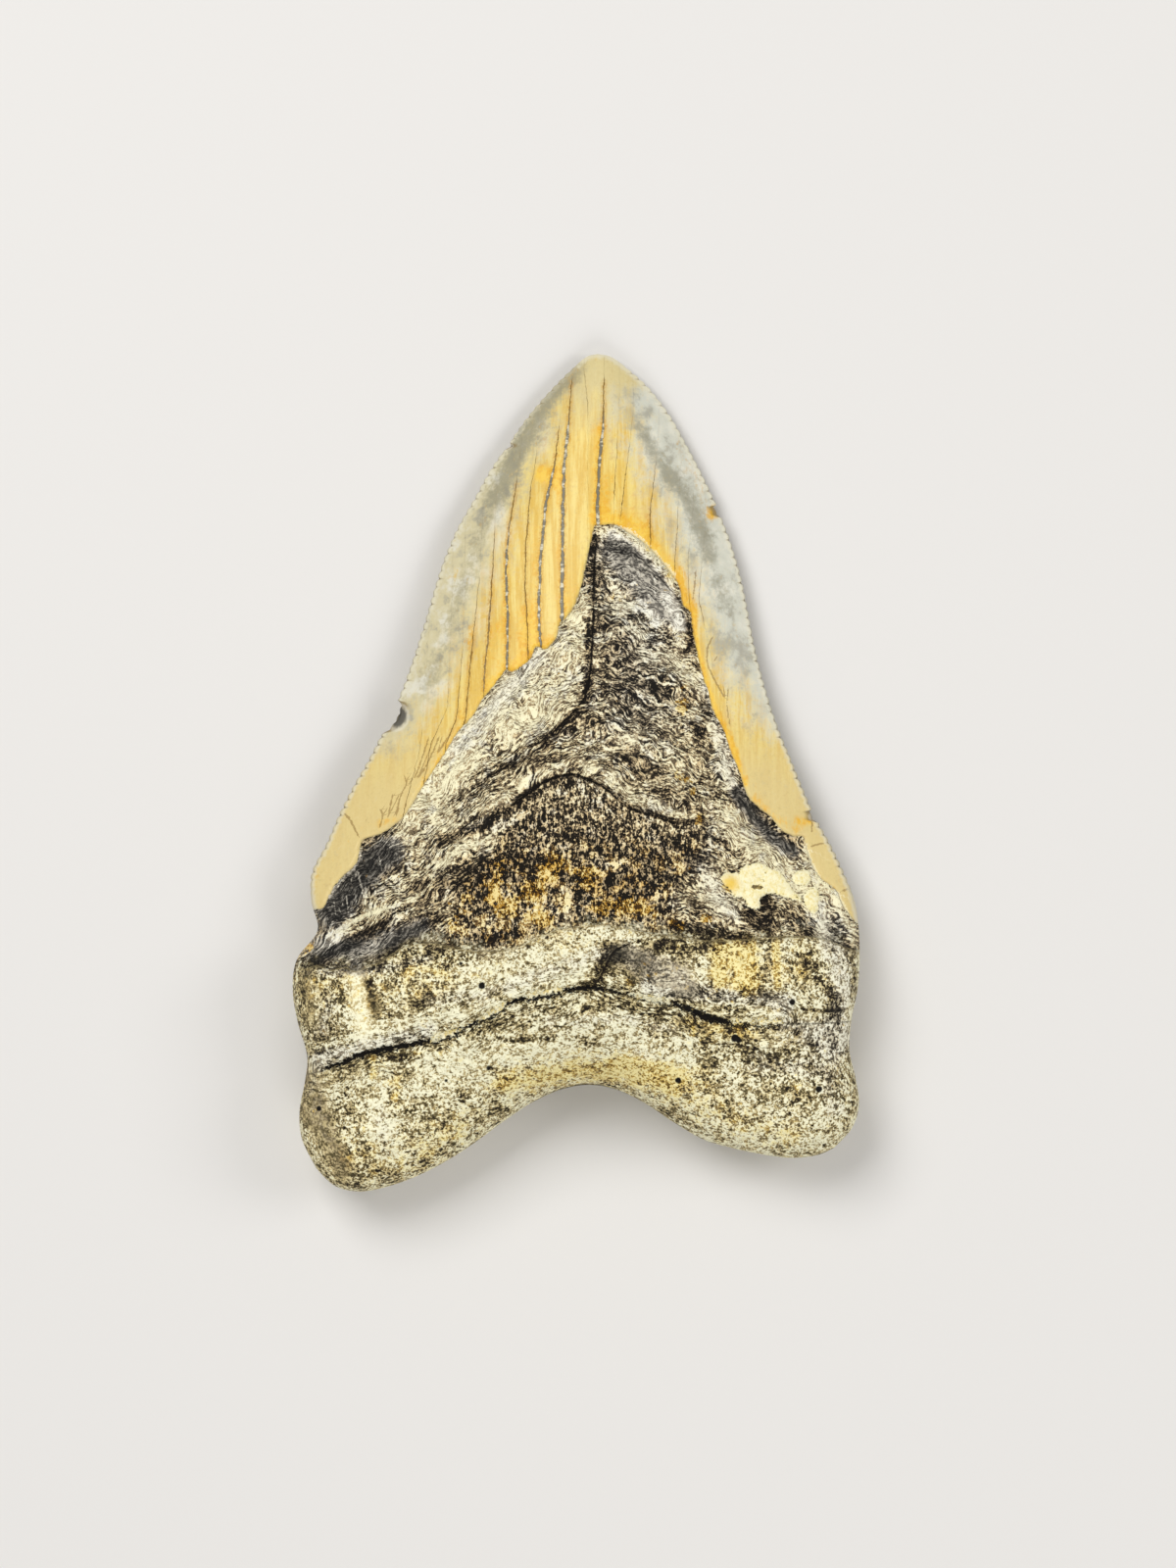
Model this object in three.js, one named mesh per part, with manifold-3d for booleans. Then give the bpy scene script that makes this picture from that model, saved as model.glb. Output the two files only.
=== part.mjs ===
// Megalodon tooth lying on its lip-side face: one solid with a serrated crown, a bare core where the
// enamel has flaked away, and a two-lobed root. Millimetres, +Z up, +Y towards the tip of the crown.
import * as THREE from "three";
import { mergeVertices } from "three/addons/utils/BufferGeometryUtils.js";
import Module from "manifold-3d";

const wasm = await Module();
wasm.setup();

// Outline stations from the root's lobes up to the tip: left x, left y, right x, right y.
const STATIONS = [
  [-37.9, -58.0, 37.7, -54.9],
  [-40.0, -53.8, 40.3, -52.0],
  [-40.4, -49.6, 41.3, -48.6],
  [-39.6, -45.2, 40.8, -44.8],
  [-39.3, -41.4, 39.9, -40.6],
  [-40.7, -36.4, 40.2, -36.2],
  [-41.4, -31.8, 41.1, -31.8],
  [-40.8, -27.4, 41.4, -27.6],
  [-37.8, -23.2, 41.3, -23.2],
  [-38.7, -19.0, 40.7, -19.0],
  [-38.7, -14.8, 39.2, -14.8],
  [-36.6, -10.6, 37.2, -10.6],
  [-34.8, -6.4, 34.9, -6.4],
  [-32.7, -2.2, 33.1, -2.2],
  [-30.3, 2.0, 31.4, 2.0],
  [-28.2, 6.2, 29.7, 6.2],
  [-26.2, 10.4, 28.3, 10.4],
  [-24.6, 14.6, 27.1, 14.6],
  [-23.2, 18.8, 26.1, 18.8],
  [-21.9, 23.0, 25.3, 23.0],
  [-20.7, 27.2, 24.5, 27.2],
  [-19.3, 31.4, 23.4, 31.4],
  [-17.5, 35.6, 22.0, 35.6],
  [-15.1, 39.8, 20.3, 39.8],
  [-12.8, 44.0, 18.3, 44.0],
  [-9.9, 48.2, 16.1, 48.2],
  [-6.9, 52.4, 13.7, 52.4],
  [-3.4, 56.4, 10.6, 56.4],
  [-0.3, 59.4, 7.2, 59.4],
  [1.6, 60.9, 5.0, 60.9],
  [3.1, 61.3, 3.1, 61.3],
];

// The root's arched lower edge, from the left lobe to the right one.
const ROOT_ARCH = [
  [-37.9, -58.0], [-35.2, -60.5], [-31.6, -61.3], [-27.6, -60.6], [-23.4, -59.1], [-19.2, -57.0],
  [-15.0, -54.3], [-10.8, -51.2], [-6.6, -48.4], [-2.4, -46.4], [1.8, -45.6], [6.0, -46.4],
  [10.2, -48.5], [14.4, -51.3], [18.6, -53.7], [23.0, -55.0], [27.4, -55.9], [31.4, -56.4],
  [35.2, -56.0], [37.7, -54.9],
];
const ARCH_REACH = 8 / (STATIONS.length - 1); // share of the stations that still bow with the arch

// Height of the outline above the ground: low along the crown, higher round the root.
const RIM = { tip: 2.2, gain: 7.1, start: 55, length: 90, power: 1.2 };

// The crown bulges above and below its cutting edges by a share of its half-width, less as it widens.
const CROWN_TOP = { share: 0.44, slack: 60, power: 1.8 };
const CROWN_UNDER = { share: 0.23, slack: 40, power: 2.6 };

// The root: its thickness beside the outline, the swelling in its middle, and its rounded rim.
const ROOT_TOP = { rise: 8.2, swell: 6.0, middle: [0, -34], spread: [21, 14], round: 12 };
const ROOT_UNDER = { rise: 9.8, swell: -2.6, middle: [0, -40], spread: [15, 16], round: 10 };
const NECK = { crown: -14, root: -30 }; // between these heights the crown's section becomes the root's

// Where the enamel has broken off: its edge from left to right over the bare core's peak.
const ENAMEL_EDGE = [
  [-42.0, -20.6], [-37.0, -19.8], [-34.8, -16.3], [-32.0, -13.0], [-31.2, -10.0], [-28.4, -9.1],
  [-25.3, -6.8], [-23.4, -4.8], [-20.9, 0.5], [-17.6, 5.3], [-13.8, 10.3], [-11.2, 13.5], [-9.2, 14.4],
  [-6.8, 16.6], [-4.6, 17.8], [-2.7, 20.5], [-1.0, 22.7], [0.9, 27.2], [1.7, 32.0], [2.0, 35.0],
  [4.4, 36.2], [8.2, 34.9], [13.2, 30.0], [16.7, 23.0], [17.4, 18.2], [20.6, 8.7], [23.2, 1.5],
  [27.1, -5.4], [31.1, -9.0], [33.3, -9.4], [34.6, -13.8], [38.2, -18.1], [42.5, -22.6],
];
// Where the bare core ends against the root, from right to left.
const ROOT_COLLAR = [
  [42.5, -26.4], [35.3, -24.1], [25.6, -24.3], [15.4, -24.0], [4.6, -22.2], [-4.5, -23.5],
  [-12.5, -26.1], [-21.6, -24.8], [-28.4, -27.6], [-35.7, -28.3], [-42.0, -28.4],
];
const ENAMEL_THICKNESS = 0.9;

// Ledges in the bare core: the broken edge of each, how far it steps down, and how soon that fades out.
const SPLIT_LEDGE = [
  [2.6, 34.0], [2.3, 28.4], [2.3, 21.2], [1.8, 14.6], [0.6, 9.6], [-3.0, 6.0], [-7.9, 3.7],
  [-11.4, 0.8], [-15.4, -2.2],
];
const SPLIT_FAR_SIDE = [
  [-6.0, -8.0], [8.0, -6.0], [17.5, 0.0], [18.6, 9.0], [15.6, 19.0], [13.6, 26.0], [8.0, 32.8],
];
const ARCH_LEDGE = [
  [-12.0, -6.0], [-8.4, -4.0], [-5.6, -1.8], [-2.3, -0.5], [0.4, -0.2], [3.2, -1.5], [6.5, -4.1],
  [9.5, -5.7], [14.4, -7.1], [18.0, -7.3],
];
const ARCH_FAR_SIDE = [
  [20.0, -14.0], [10.0, -19.0], [-2.0, -20.0], [-13.0, -15.0],
];
const LEDGES = [
  { edge: SPLIT_LEDGE, farSide: SPLIT_FAR_SIDE, step: 0.7, fade: 16 },
  { edge: ARCH_LEDGE, farSide: ARCH_FAR_SIDE, step: 0.8, fade: 12 },
];

// The open crack across the root, and the vessel holes: x, y, radius.
const ROOT_CRACK = [
  [-37.6, -43.3], [-30.7, -40.6], [-23.9, -39.2], [-17.0, -37.6], [-11.4, -35.1], [-4.5, -32.2],
  [2.0, -31.2], [7.5, -32.3], [13.7, -33.5], [19.0, -35.6], [25.0, -36.6], [30.0, -36.6],
];
const CRACK_RADIUS = 0.7;
const CRACK_SIDES = 6;
const CRACK_STEPS = 30;
const VESSEL_HOLES = [
  [-13.8, -31.0, 0.8], [-12.7, -42.8, 0.6], [23.2, -38.7, 0.9], [14.7, -44.9, 0.7], [35.4, -46.0, 0.7],
];
const HOLE_DEPTH = 2.5;
const HOLE_SIDES = 8;

// Cutting edges: small notches along both sides of the crown, and chips: x, y, height above the rim, radius.
const SERRATION = { pitch: 1.5, depth: 0.5, from: -12, to: 57 };
const CHIPS = [
  [-28.4, 7.4, 1.6, 2.6], [22.4, 38.3, 1.2, 1.8], [36.4, -7.0, 1.0, 2.0], [-10.6, 48.0, 0.6, 1.0],
];

// Mesh fineness
const COLUMNS = 32;
const ROWS = 36;
const RECESS_COLUMNS = 18;
const RECESS_ROWS = 18;
const EDGE_CROWDING = 0.5;
const EDGE_POINTS = 240;
const CLEAR_ABOVE = 60;

const clamp = THREE.MathUtils.clamp;
const lerp = THREE.MathUtils.lerp;
const vectors = (points) => points.map(([x, y]) => new THREE.Vector2(x, y));
const curve = (points) => new THREE.SplineCurve(vectors(points));

const leftEdge = curve(STATIONS);
const rightEdge = curve(STATIONS.map(([, , x, y]) => [x, y]));
const rootArch = curve(ROOT_ARCH);

// Plan position of grid point (u, v): u runs -1 to 1 from the left edge to the right, v 0 to 1 up to the tip.
function planPoint(u, v) {
  const across = (u + 1) / 2;
  const point = leftEdge.getPoint(v).lerp(rightEdge.getPoint(v), across);
  const bowing = Math.max(0, 1 - v / ARCH_REACH) ** 2;
  if (bowing === 0) return point;
  const along = clamp(across, 0, 1);
  const chord = leftEdge.getPoint(0).lerp(rightEdge.getPoint(0), along);
  return point.addScaledVector(rootArch.getPoint(along).sub(chord), bowing);
}

const outline = [
  ...leftEdge.getPoints(EDGE_POINTS).reverse(),
  ...rootArch.getPoints(EDGE_POINTS),
  ...rightEdge.getPoints(EDGE_POINTS),
];

// Shortest distance from a plan point to a polyline.
function distanceTo(line, x, y) {
  const point = new THREE.Vector3(x, y, 0);
  const nearest = new THREE.Vector3();
  const segment = new THREE.Line3();
  let least = Infinity;
  for (let i = 1; i < line.length; i++) {
    segment.start.set(line[i - 1].x, line[i - 1].y, 0);
    segment.end.set(line[i].x, line[i].y, 0);
    segment.closestPointToPoint(point, true, nearest);
    least = Math.min(least, nearest.distanceTo(point));
  }
  return least;
}

function rimHeight(y) {
  return RIM.tip + RIM.gain * clamp((RIM.start - y) / RIM.length, 0, 1) ** RIM.power;
}

// A crown bulge: a lens across the half-width, full in the middle and nothing at the cutting edges.
function crownBulge({ share, slack, power }, u, halfWidth) {
  return ((share * halfWidth) / (1 + (halfWidth / slack) ** 2)) * (1 - Math.abs(u) ** power);
}

// A root bulge: a quarter-round rim of the given radius, with a smooth swelling in the middle.
function rootBulge({ rise, swell, middle, spread, round }, x, y, inside) {
  const across = (x - middle[0]) / spread[0];
  const along = (y - middle[1]) / spread[1];
  const rim = Math.sqrt(1 - (1 - Math.min(inside / round, 1)) ** 2);
  return (rise + swell * Math.exp(-across * across - along * along)) * rim;
}

// Heights of the tongue-side face and of the lip-side face, which is worn flat where it meets the ground.
function faceHeights(u, v) {
  const { x, y } = planPoint(u, v);
  const halfWidth = (rightEdge.getPoint(v).x - leftEdge.getPoint(v).x) / 2;
  const onRim = Math.abs(u) === 1 || v === 0;
  const inside = onRim ? 0 : distanceTo(outline, x, y);
  const root = 1 - THREE.MathUtils.smoothstep(y, NECK.root, NECK.crown);
  const rim = rimHeight(y);
  const over = lerp(crownBulge(CROWN_TOP, u, halfWidth), rootBulge(ROOT_TOP, x, y, inside), root);
  const under = lerp(crownBulge(CROWN_UNDER, u, halfWidth), rootBulge(ROOT_UNDER, x, y, inside), root);
  return { x, y, inside, top: rim + over, bottom: Math.max(0, rim - under) };
}

// A closed geometry as a solid, with its shared vertices merged and its collapsed triangles dropped.
function solidOf(geometry) {
  const bare = geometry.clone();
  bare.deleteAttribute("normal");
  bare.deleteAttribute("uv");
  const merged = mergeVertices(bare);
  const corners = merged.index.array;
  const kept = [];
  for (let i = 0; i < corners.length; i += 3) {
    const [a, b, c] = corners.slice(i, i + 3);
    if (a !== b && b !== c && c !== a) kept.push(a, b, c);
  }
  const vertProperties = merged.attributes.position.array;
  return new wasm.Manifold(new wasm.Mesh({ numProp: 3, vertProperties, triVerts: new Uint32Array(kept) }));
}

function geometryOf(solid) {
  const { vertProperties, triVerts } = solid.getMesh();
  const geometry = new THREE.BufferGeometry();
  geometry.setAttribute("position", new THREE.BufferAttribute(vertProperties, 3));
  geometry.setIndex(new THREE.BufferAttribute(triVerts, 1));
  geometry.computeVertexNormals();
  return geometry;
}

// A box bent over the plan grid: place(u, v, upper) gives each vertex, with columns closer at the edges.
function bentBox(columns, rows, place) {
  const box = new THREE.BoxGeometry(2, 1, 1, columns, rows, 1);
  const position = box.attributes.position;
  for (let i = 0; i < position.count; i++) {
    const even = position.getX(i);
    const u = lerp(even, Math.sin((even * Math.PI) / 2), EDGE_CROWDING);
    const spot = place(u, position.getY(i) + 0.5, position.getZ(i) > 0);
    position.setXYZ(i, spot.x, spot.y, spot.z);
  }
  return solidOf(box);
}

// The whole tooth as if its enamel were unbroken. Rows lie closer together at the root.
function unbrokenTooth() {
  return bentBox(COLUMNS, ROWS, (u, t, upper) => {
    const face = faceHeights(u, 0.4 * t * t + 0.6 * t);
    return { x: face.x, y: face.y, z: upper ? face.top : face.bottom };
  });
}

// What a break takes away: all above the tongue-side face less depth(x, y, inside), within a plan outline.
function breakAway(points, depth) {
  const plan = vectors(points);
  const shape = new THREE.Shape(plan);
  const prism = solidOf(new THREE.ExtrudeGeometry(shape, { depth: CLEAR_ABOVE, bevelEnabled: false }));
  const past = 1.06;
  const rows = plan.map(({ y }) => y);
  const low = rowAt(Math.min(...rows) - 1);
  const high = rowAt(Math.max(...rows) + 1);
  const above = bentBox(RECESS_COLUMNS, RECESS_ROWS, (u, t, upper) => {
    const face = faceHeights(u * past, lerp(low, high, t));
    return { x: face.x, y: face.y, z: upper ? CLEAR_ABOVE : face.top - depth(face.x, face.y, face.inside) };
  });
  return above.intersect(prism);
}

// The grid row whose left end lies at height y, on the stations above the root's arch.
function rowAt(y) {
  const last = STATIONS.length - 1;
  const above = STATIONS.findIndex((station) => station[1] > y);
  const below = STATIONS[above - 1];
  return (above - 1 + (y - below[1]) / (STATIONS[above][1] - below[1])) / last;
}

function lostEnamel() {
  const edge = curve(ENAMEL_EDGE).getPoints(2 * ENAMEL_EDGE.length);
  const collar = curve(ROOT_COLLAR).getPoints(2 * ROOT_COLLAR.length);
  const points = [...edge, ...collar].map(({ x, y }) => [x, y]);
  const feather = 5;
  return breakAway(points, (x, y, inside) => ENAMEL_THICKNESS * clamp(inside / feather, 0, 1));
}

function ledgeBreak({ edge, farSide, step, fade }) {
  const line = curve(edge).getPoints(3 * edge.length);
  const points = [...line.map(({ x, y }) => [x, y]), ...farSide];
  return breakAway(points, (x, y) => {
    const away = clamp(distanceTo(line, x, y) / fade, 0, 1);
    return ENAMEL_THICKNESS + step * (1 - away) - 0.3 * away;
  });
}

// Height of the root's tongue-side face, which depends on the plan point alone.
function rootTop(x, y) {
  return rimHeight(y) + rootBulge(ROOT_TOP, x, y, distanceTo(outline, x, y));
}

function rootCrack() {
  const route = ROOT_CRACK.map(([x, y]) => new THREE.Vector3(x, y, rootTop(x, y)));
  const section = new THREE.Shape();
  section.absarc(0, 0, CRACK_RADIUS, 0, 2 * Math.PI);
  const extrudePath = new THREE.CatmullRomCurve3(route);
  const settings = { steps: CRACK_STEPS, curveSegments: CRACK_SIDES, bevelEnabled: false, extrudePath };
  return solidOf(new THREE.ExtrudeGeometry(section, settings));
}

function vesselHole([x, y, radius]) {
  const bore = new THREE.CylinderGeometry(radius, 0.6 * radius, 2 * HOLE_DEPTH, HOLE_SIDES);
  return solidOf(bore.rotateX(Math.PI / 2).translate(x, y, rootTop(x, y)));
}

// Diamond notches set at even spacing along one cutting edge.
function serrations(edge) {
  const notches = [];
  const length = edge.getLength();
  for (let s = 0; s < length; s += SERRATION.pitch) {
    const { x, y } = edge.getPointAt(s / length);
    if (y < SERRATION.from || y > SERRATION.to) continue;
    const notch = new THREE.CylinderGeometry(SERRATION.depth, SERRATION.depth, CLEAR_ABOVE, 4);
    notches.push(solidOf(notch.rotateX(Math.PI / 2).translate(x, y, 0)));
  }
  return notches;
}

function chip([x, y, lift, radius]) {
  const scoop = new THREE.SphereGeometry(radius, 12, 8);
  return solidOf(scoop.translate(x, y, rimHeight(y) + lift));
}

function brokenTooth() {
  const cutters = [
    lostEnamel(),
    ...LEDGES.map(ledgeBreak),
    rootCrack(),
    ...VESSEL_HOLES.map(vesselHole),
    ...CHIPS.map(chip),
    ...serrations(leftEdge),
    ...serrations(rightEdge),
  ];
  return cutters.reduce((solid, cutter) => solid.subtract(cutter), unbrokenTooth());
}

const fossil = new THREE.MeshStandardMaterial({ color: 0x8f8468, roughness: 0.65, metalness: 0 });
const tooth = new THREE.Mesh(geometryOf(brokenTooth()), fossil);
tooth.name = "tooth";

const part = new THREE.Group();
part.add(tooth);

export default part;
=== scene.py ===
"""A fossil megalodon tooth with flaked enamel, laid on a pale floor under soft studio light."""

import math

import bpy
import numpy as np
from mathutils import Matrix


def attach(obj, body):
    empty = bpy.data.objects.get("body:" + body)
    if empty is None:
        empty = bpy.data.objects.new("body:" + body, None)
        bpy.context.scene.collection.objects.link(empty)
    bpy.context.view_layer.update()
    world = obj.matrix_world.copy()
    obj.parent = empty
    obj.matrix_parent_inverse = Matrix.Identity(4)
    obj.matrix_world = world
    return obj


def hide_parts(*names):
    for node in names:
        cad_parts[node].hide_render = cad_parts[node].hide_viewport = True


bl_info = {
    "name": "Fossil Megalodon Tooth",
    "version": (1, 0, 0),
    "blender": (4, 5, 0),
    "location": "View3D > Sidebar > Tooth",
    "description": "Builds a large fossil shark tooth with flaked enamel and a cracked root",
    "category": "Add Mesh",
}

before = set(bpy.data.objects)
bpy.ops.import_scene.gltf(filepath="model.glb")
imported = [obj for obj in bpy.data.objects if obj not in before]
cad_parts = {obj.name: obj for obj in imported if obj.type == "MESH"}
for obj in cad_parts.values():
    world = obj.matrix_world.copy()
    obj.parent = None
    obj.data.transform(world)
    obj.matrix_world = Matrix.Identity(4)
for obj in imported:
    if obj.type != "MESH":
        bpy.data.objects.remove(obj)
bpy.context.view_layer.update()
MM = 0.001

# Shape values shared with the solid, in millimetres: +X right, +Y towards the tip, +Z up.

# Outline stations from the root's lobes up to the tip: left x, left y, right x, right y.
STATIONS = np.array([
    (-37.9, -58.0, 37.7, -54.9), (-40.0, -53.8, 40.3, -52.0), (-40.4, -49.6, 41.3, -48.6),
    (-39.6, -45.2, 40.8, -44.8), (-39.3, -41.4, 39.9, -40.6), (-40.7, -36.4, 40.2, -36.2),
    (-41.4, -31.8, 41.1, -31.8), (-40.8, -27.4, 41.4, -27.6), (-37.8, -23.2, 41.3, -23.2),
    (-38.7, -19.0, 40.7, -19.0), (-38.7, -14.8, 39.2, -14.8), (-36.6, -10.6, 37.2, -10.6),
    (-34.8, -6.4, 34.9, -6.4), (-32.7, -2.2, 33.1, -2.2), (-30.3, 2.0, 31.4, 2.0),
    (-28.2, 6.2, 29.7, 6.2), (-26.2, 10.4, 28.3, 10.4), (-24.6, 14.6, 27.1, 14.6),
    (-23.2, 18.8, 26.1, 18.8), (-21.9, 23.0, 25.3, 23.0), (-20.7, 27.2, 24.5, 27.2),
    (-19.3, 31.4, 23.4, 31.4), (-17.5, 35.6, 22.0, 35.6), (-15.1, 39.8, 20.3, 39.8),
    (-12.8, 44.0, 18.3, 44.0), (-9.9, 48.2, 16.1, 48.2), (-6.9, 52.4, 13.7, 52.4),
    (-3.4, 56.4, 10.6, 56.4), (-0.3, 59.4, 7.2, 59.4), (1.6, 60.9, 5.0, 60.9),
    (3.1, 61.3, 3.1, 61.3),
])
# The root's arched lower edge, from the left lobe to the right one.
ROOT_ARCH = np.array([
    (-37.9, -58.0), (-35.2, -60.5), (-31.6, -61.3), (-27.6, -60.6), (-23.4, -59.1), (-19.2, -57.0),
    (-15.0, -54.3), (-10.8, -51.2), (-6.6, -48.4), (-2.4, -46.4), (1.8, -45.6), (6.0, -46.4),
    (10.2, -48.5), (14.4, -51.3), (18.6, -53.7), (23.0, -55.0), (27.4, -55.9), (31.4, -56.4),
    (35.2, -56.0), (37.7, -54.9),
])
ARCH_REACH = 8 / (len(STATIONS) - 1)
RIM = dict(tip=2.2, gain=7.1, start=55.0, length=90.0, power=1.2)
CROWN_TOP = dict(share=0.44, slack=60.0, power=1.8)
CROWN_UNDER = dict(share=0.23, slack=40.0, power=2.6)
ROOT_TOP = dict(rise=8.2, swell=6.0, middle=(0.0, -34.0), spread=(21.0, 14.0), round_=12.0)
ROOT_UNDER = dict(rise=9.8, swell=-2.6, middle=(0.0, -40.0), spread=(15.0, 16.0), round_=10.0)
NECK_ROOT, NECK_CROWN = -30.0, -14.0
ENAMEL_THICKNESS = 0.9

# Marks on the tongue-side face are placed by photograph pixel: the frame's size in pixels, the millimetres
# that one pixel spans, and the pixel over the tooth's origin.
FRAME_SIZE = np.array([1200, 1600])
PIXEL = 0.144
PIXEL_MIDDLE = (588.0, 787.5)

# Edge of the surviving enamel, from the left outline over the bare core's peak to the right outline.
ENAMEL_EDGE = [
    (296, 930), (325, 927), (332, 925), (341, 907), (351, 894), (364, 882), (369, 867), (371, 857),
    (389, 851), (403, 842), (416, 830), (430, 807), (443, 787), (458, 764), (469, 746), (483, 732),
    (494, 713), (506, 699), (517, 684), (521, 687), (529, 684), (542, 673), (547, 661), (556, 664),
    (561, 661), (569, 650), (571, 638), (577, 633), (586, 620), (593, 601), (598, 577), (606, 541),
    (610, 538), (625, 537), (635, 542), (653, 553), (666, 565), (683, 585), (693, 601), (696, 618),
    (704, 626), (706, 643), (710, 663), (716, 689), (722, 707), (727, 726), (737, 744), (745, 768),
    (754, 789), (761, 811), (772, 823), (786, 834), (795, 846), (808, 853), (818, 853), (819, 857),
    (822, 867), (828, 884), (836, 896), (847, 904), (853, 910), (857, 921), (865, 933), (874, 942),
    (900, 952),
]
# Where the bare core ends against the root, from right to left.
ROOT_COLLAR = [
    (900, 972), (866, 967), (833, 955), (794, 954), (766, 956), (727, 958), (695, 954), (659, 950),
    (620, 942), (588, 944), (557, 951), (533, 962), (501, 969), (470, 966), (438, 960), (411, 966),
    (391, 979), (378, 983), (366, 989), (354, 984), (340, 988), (326, 983), (312, 987), (300, 984),
    (296, 985),
]
# Broken ledges, each drawn with the lower side on its left.
SPLIT_LEDGE = [
    (608, 548), (606, 580), (605, 613), (604, 653), (601, 689), (593, 717), (567, 744), (556, 756),
    (529, 764), (524, 776), (496, 785), (470, 800),
]
ARCH_LEDGE = [
    (713, 838), (688, 838), (665, 832), (651, 827), (636, 820), (619, 805), (601, 795), (583, 789),
    (558, 796), (540, 809), (507, 831),
]
COLLAR_STEP = [(660, 954), (628, 966), (616, 986), (608, 1001)]
# Each ledge with the height of its step and the distance over which it is made up, in millimetres.
LEDGES = [(SPLIT_LEDGE, 0.7, 16.0), (ARCH_LEDGE, 0.8, 12.0), (COLLAR_STEP, 0.7, 7.0)]
# The long crack across the root, from left to right.
ROOT_CRACK = [
    (329, 1090), (355, 1080), (379, 1071), (414, 1064), (447, 1057), (478, 1045), (501, 1033),
    (525, 1019), (573, 1008), (608, 1005), (636, 1011), (687, 1021), (715, 1033), (743, 1040),
    (794, 1041),
]

# Long cracks down the enamel, from left to right: the points each runs through, the heights between
# which it shows, and its half-width in millimetres.
ENAMEL_CRACKS = [
    ([(440, 600), (430, 762), (405, 860)], 742, 850, 0.05),
    ([(462, 600), (458, 721), (440, 760), (425, 850)], 699, 830, 0.06),
    ([(474, 600), (472, 666), (466, 734), (455, 760)], 660, 770, 0.08),
    ([(492, 540), (488, 598), (485, 626), (479, 684), (475, 732), (470, 760)], 590, 745, 0.09),
    ([(506, 490), (503, 554), (501, 593), (498, 643), (494, 684), (493, 708)], 540, 715, 0.12),
    ([(530, 460), (525, 499), (518, 541), (516, 565), (515, 582), (517, 643), (516, 690)], 490, 690, 0.20),
    ([(547, 440), (545, 469), (540, 499), (535, 557), (534, 599), (537, 641), (538, 700)], 462, 680, 0.09),
    ([(570, 420), (568, 441), (564, 474), (555, 516), (550, 565), (548, 610), (548, 640), (550, 664)],
     436, 664, 0.23),
    ([(582, 380), (580, 395), (578, 430), (573, 478), (572, 516), (571, 585), (571, 636), (571, 700)],
     388, 640, 0.25),
    ([(593, 381), (597, 416), (597, 700)], 378, 425, 0.06),
    ([(613, 380), (613, 390), (612, 436), (608, 474), (606, 516), (607, 538), (607, 700)], 386, 542, 0.24),
    ([(628, 420), (626, 453), (623, 507), (622, 700)], 450, 512, 0.07),
    ([(642, 420), (638, 456), (630, 516), (628, 532), (630, 700)], 452, 536, 0.08),
    ([(668, 430), (664, 478), (658, 529), (659, 555), (664, 700)], 474, 560, 0.10),
    ([(690, 470), (687, 522), (683, 580), (690, 700)], 518, 586, 0.07),
    ([(702, 520), (696, 572), (698, 618), (712, 700)], 560, 620, 0.05),
    ([(714, 540), (710, 579), (707, 611), (721, 677), (735, 760)], 575, 640, 0.06),
]

# Vessel holes in the root, dark with painted shade (x, y, radius in millimetres).
VESSEL_HOLES = [
    (493, 1003, 0.48), (748, 1056, 0.55), (752, 1058, 0.40), (691, 1099, 0.42), (833, 1108, 0.45),
    (500, 1086, 0.32), (457, 1099, 0.18), (328, 1128, 0.32), (472, 981, 0.25), (806, 1020, 0.42),
]
# Chips on the cutting edges (x, y, radius in millimetres, depth in millimetres, darkness).
CHIPS = [
    (404, 732, 2.4, 1.1, 1.0), (733, 522, 0.9, 0.5, 0.0), (829, 833, 0.9, 0.5, 0.3),
    (519, 456, 0.6, 0.4, 0.5),
]
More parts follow.
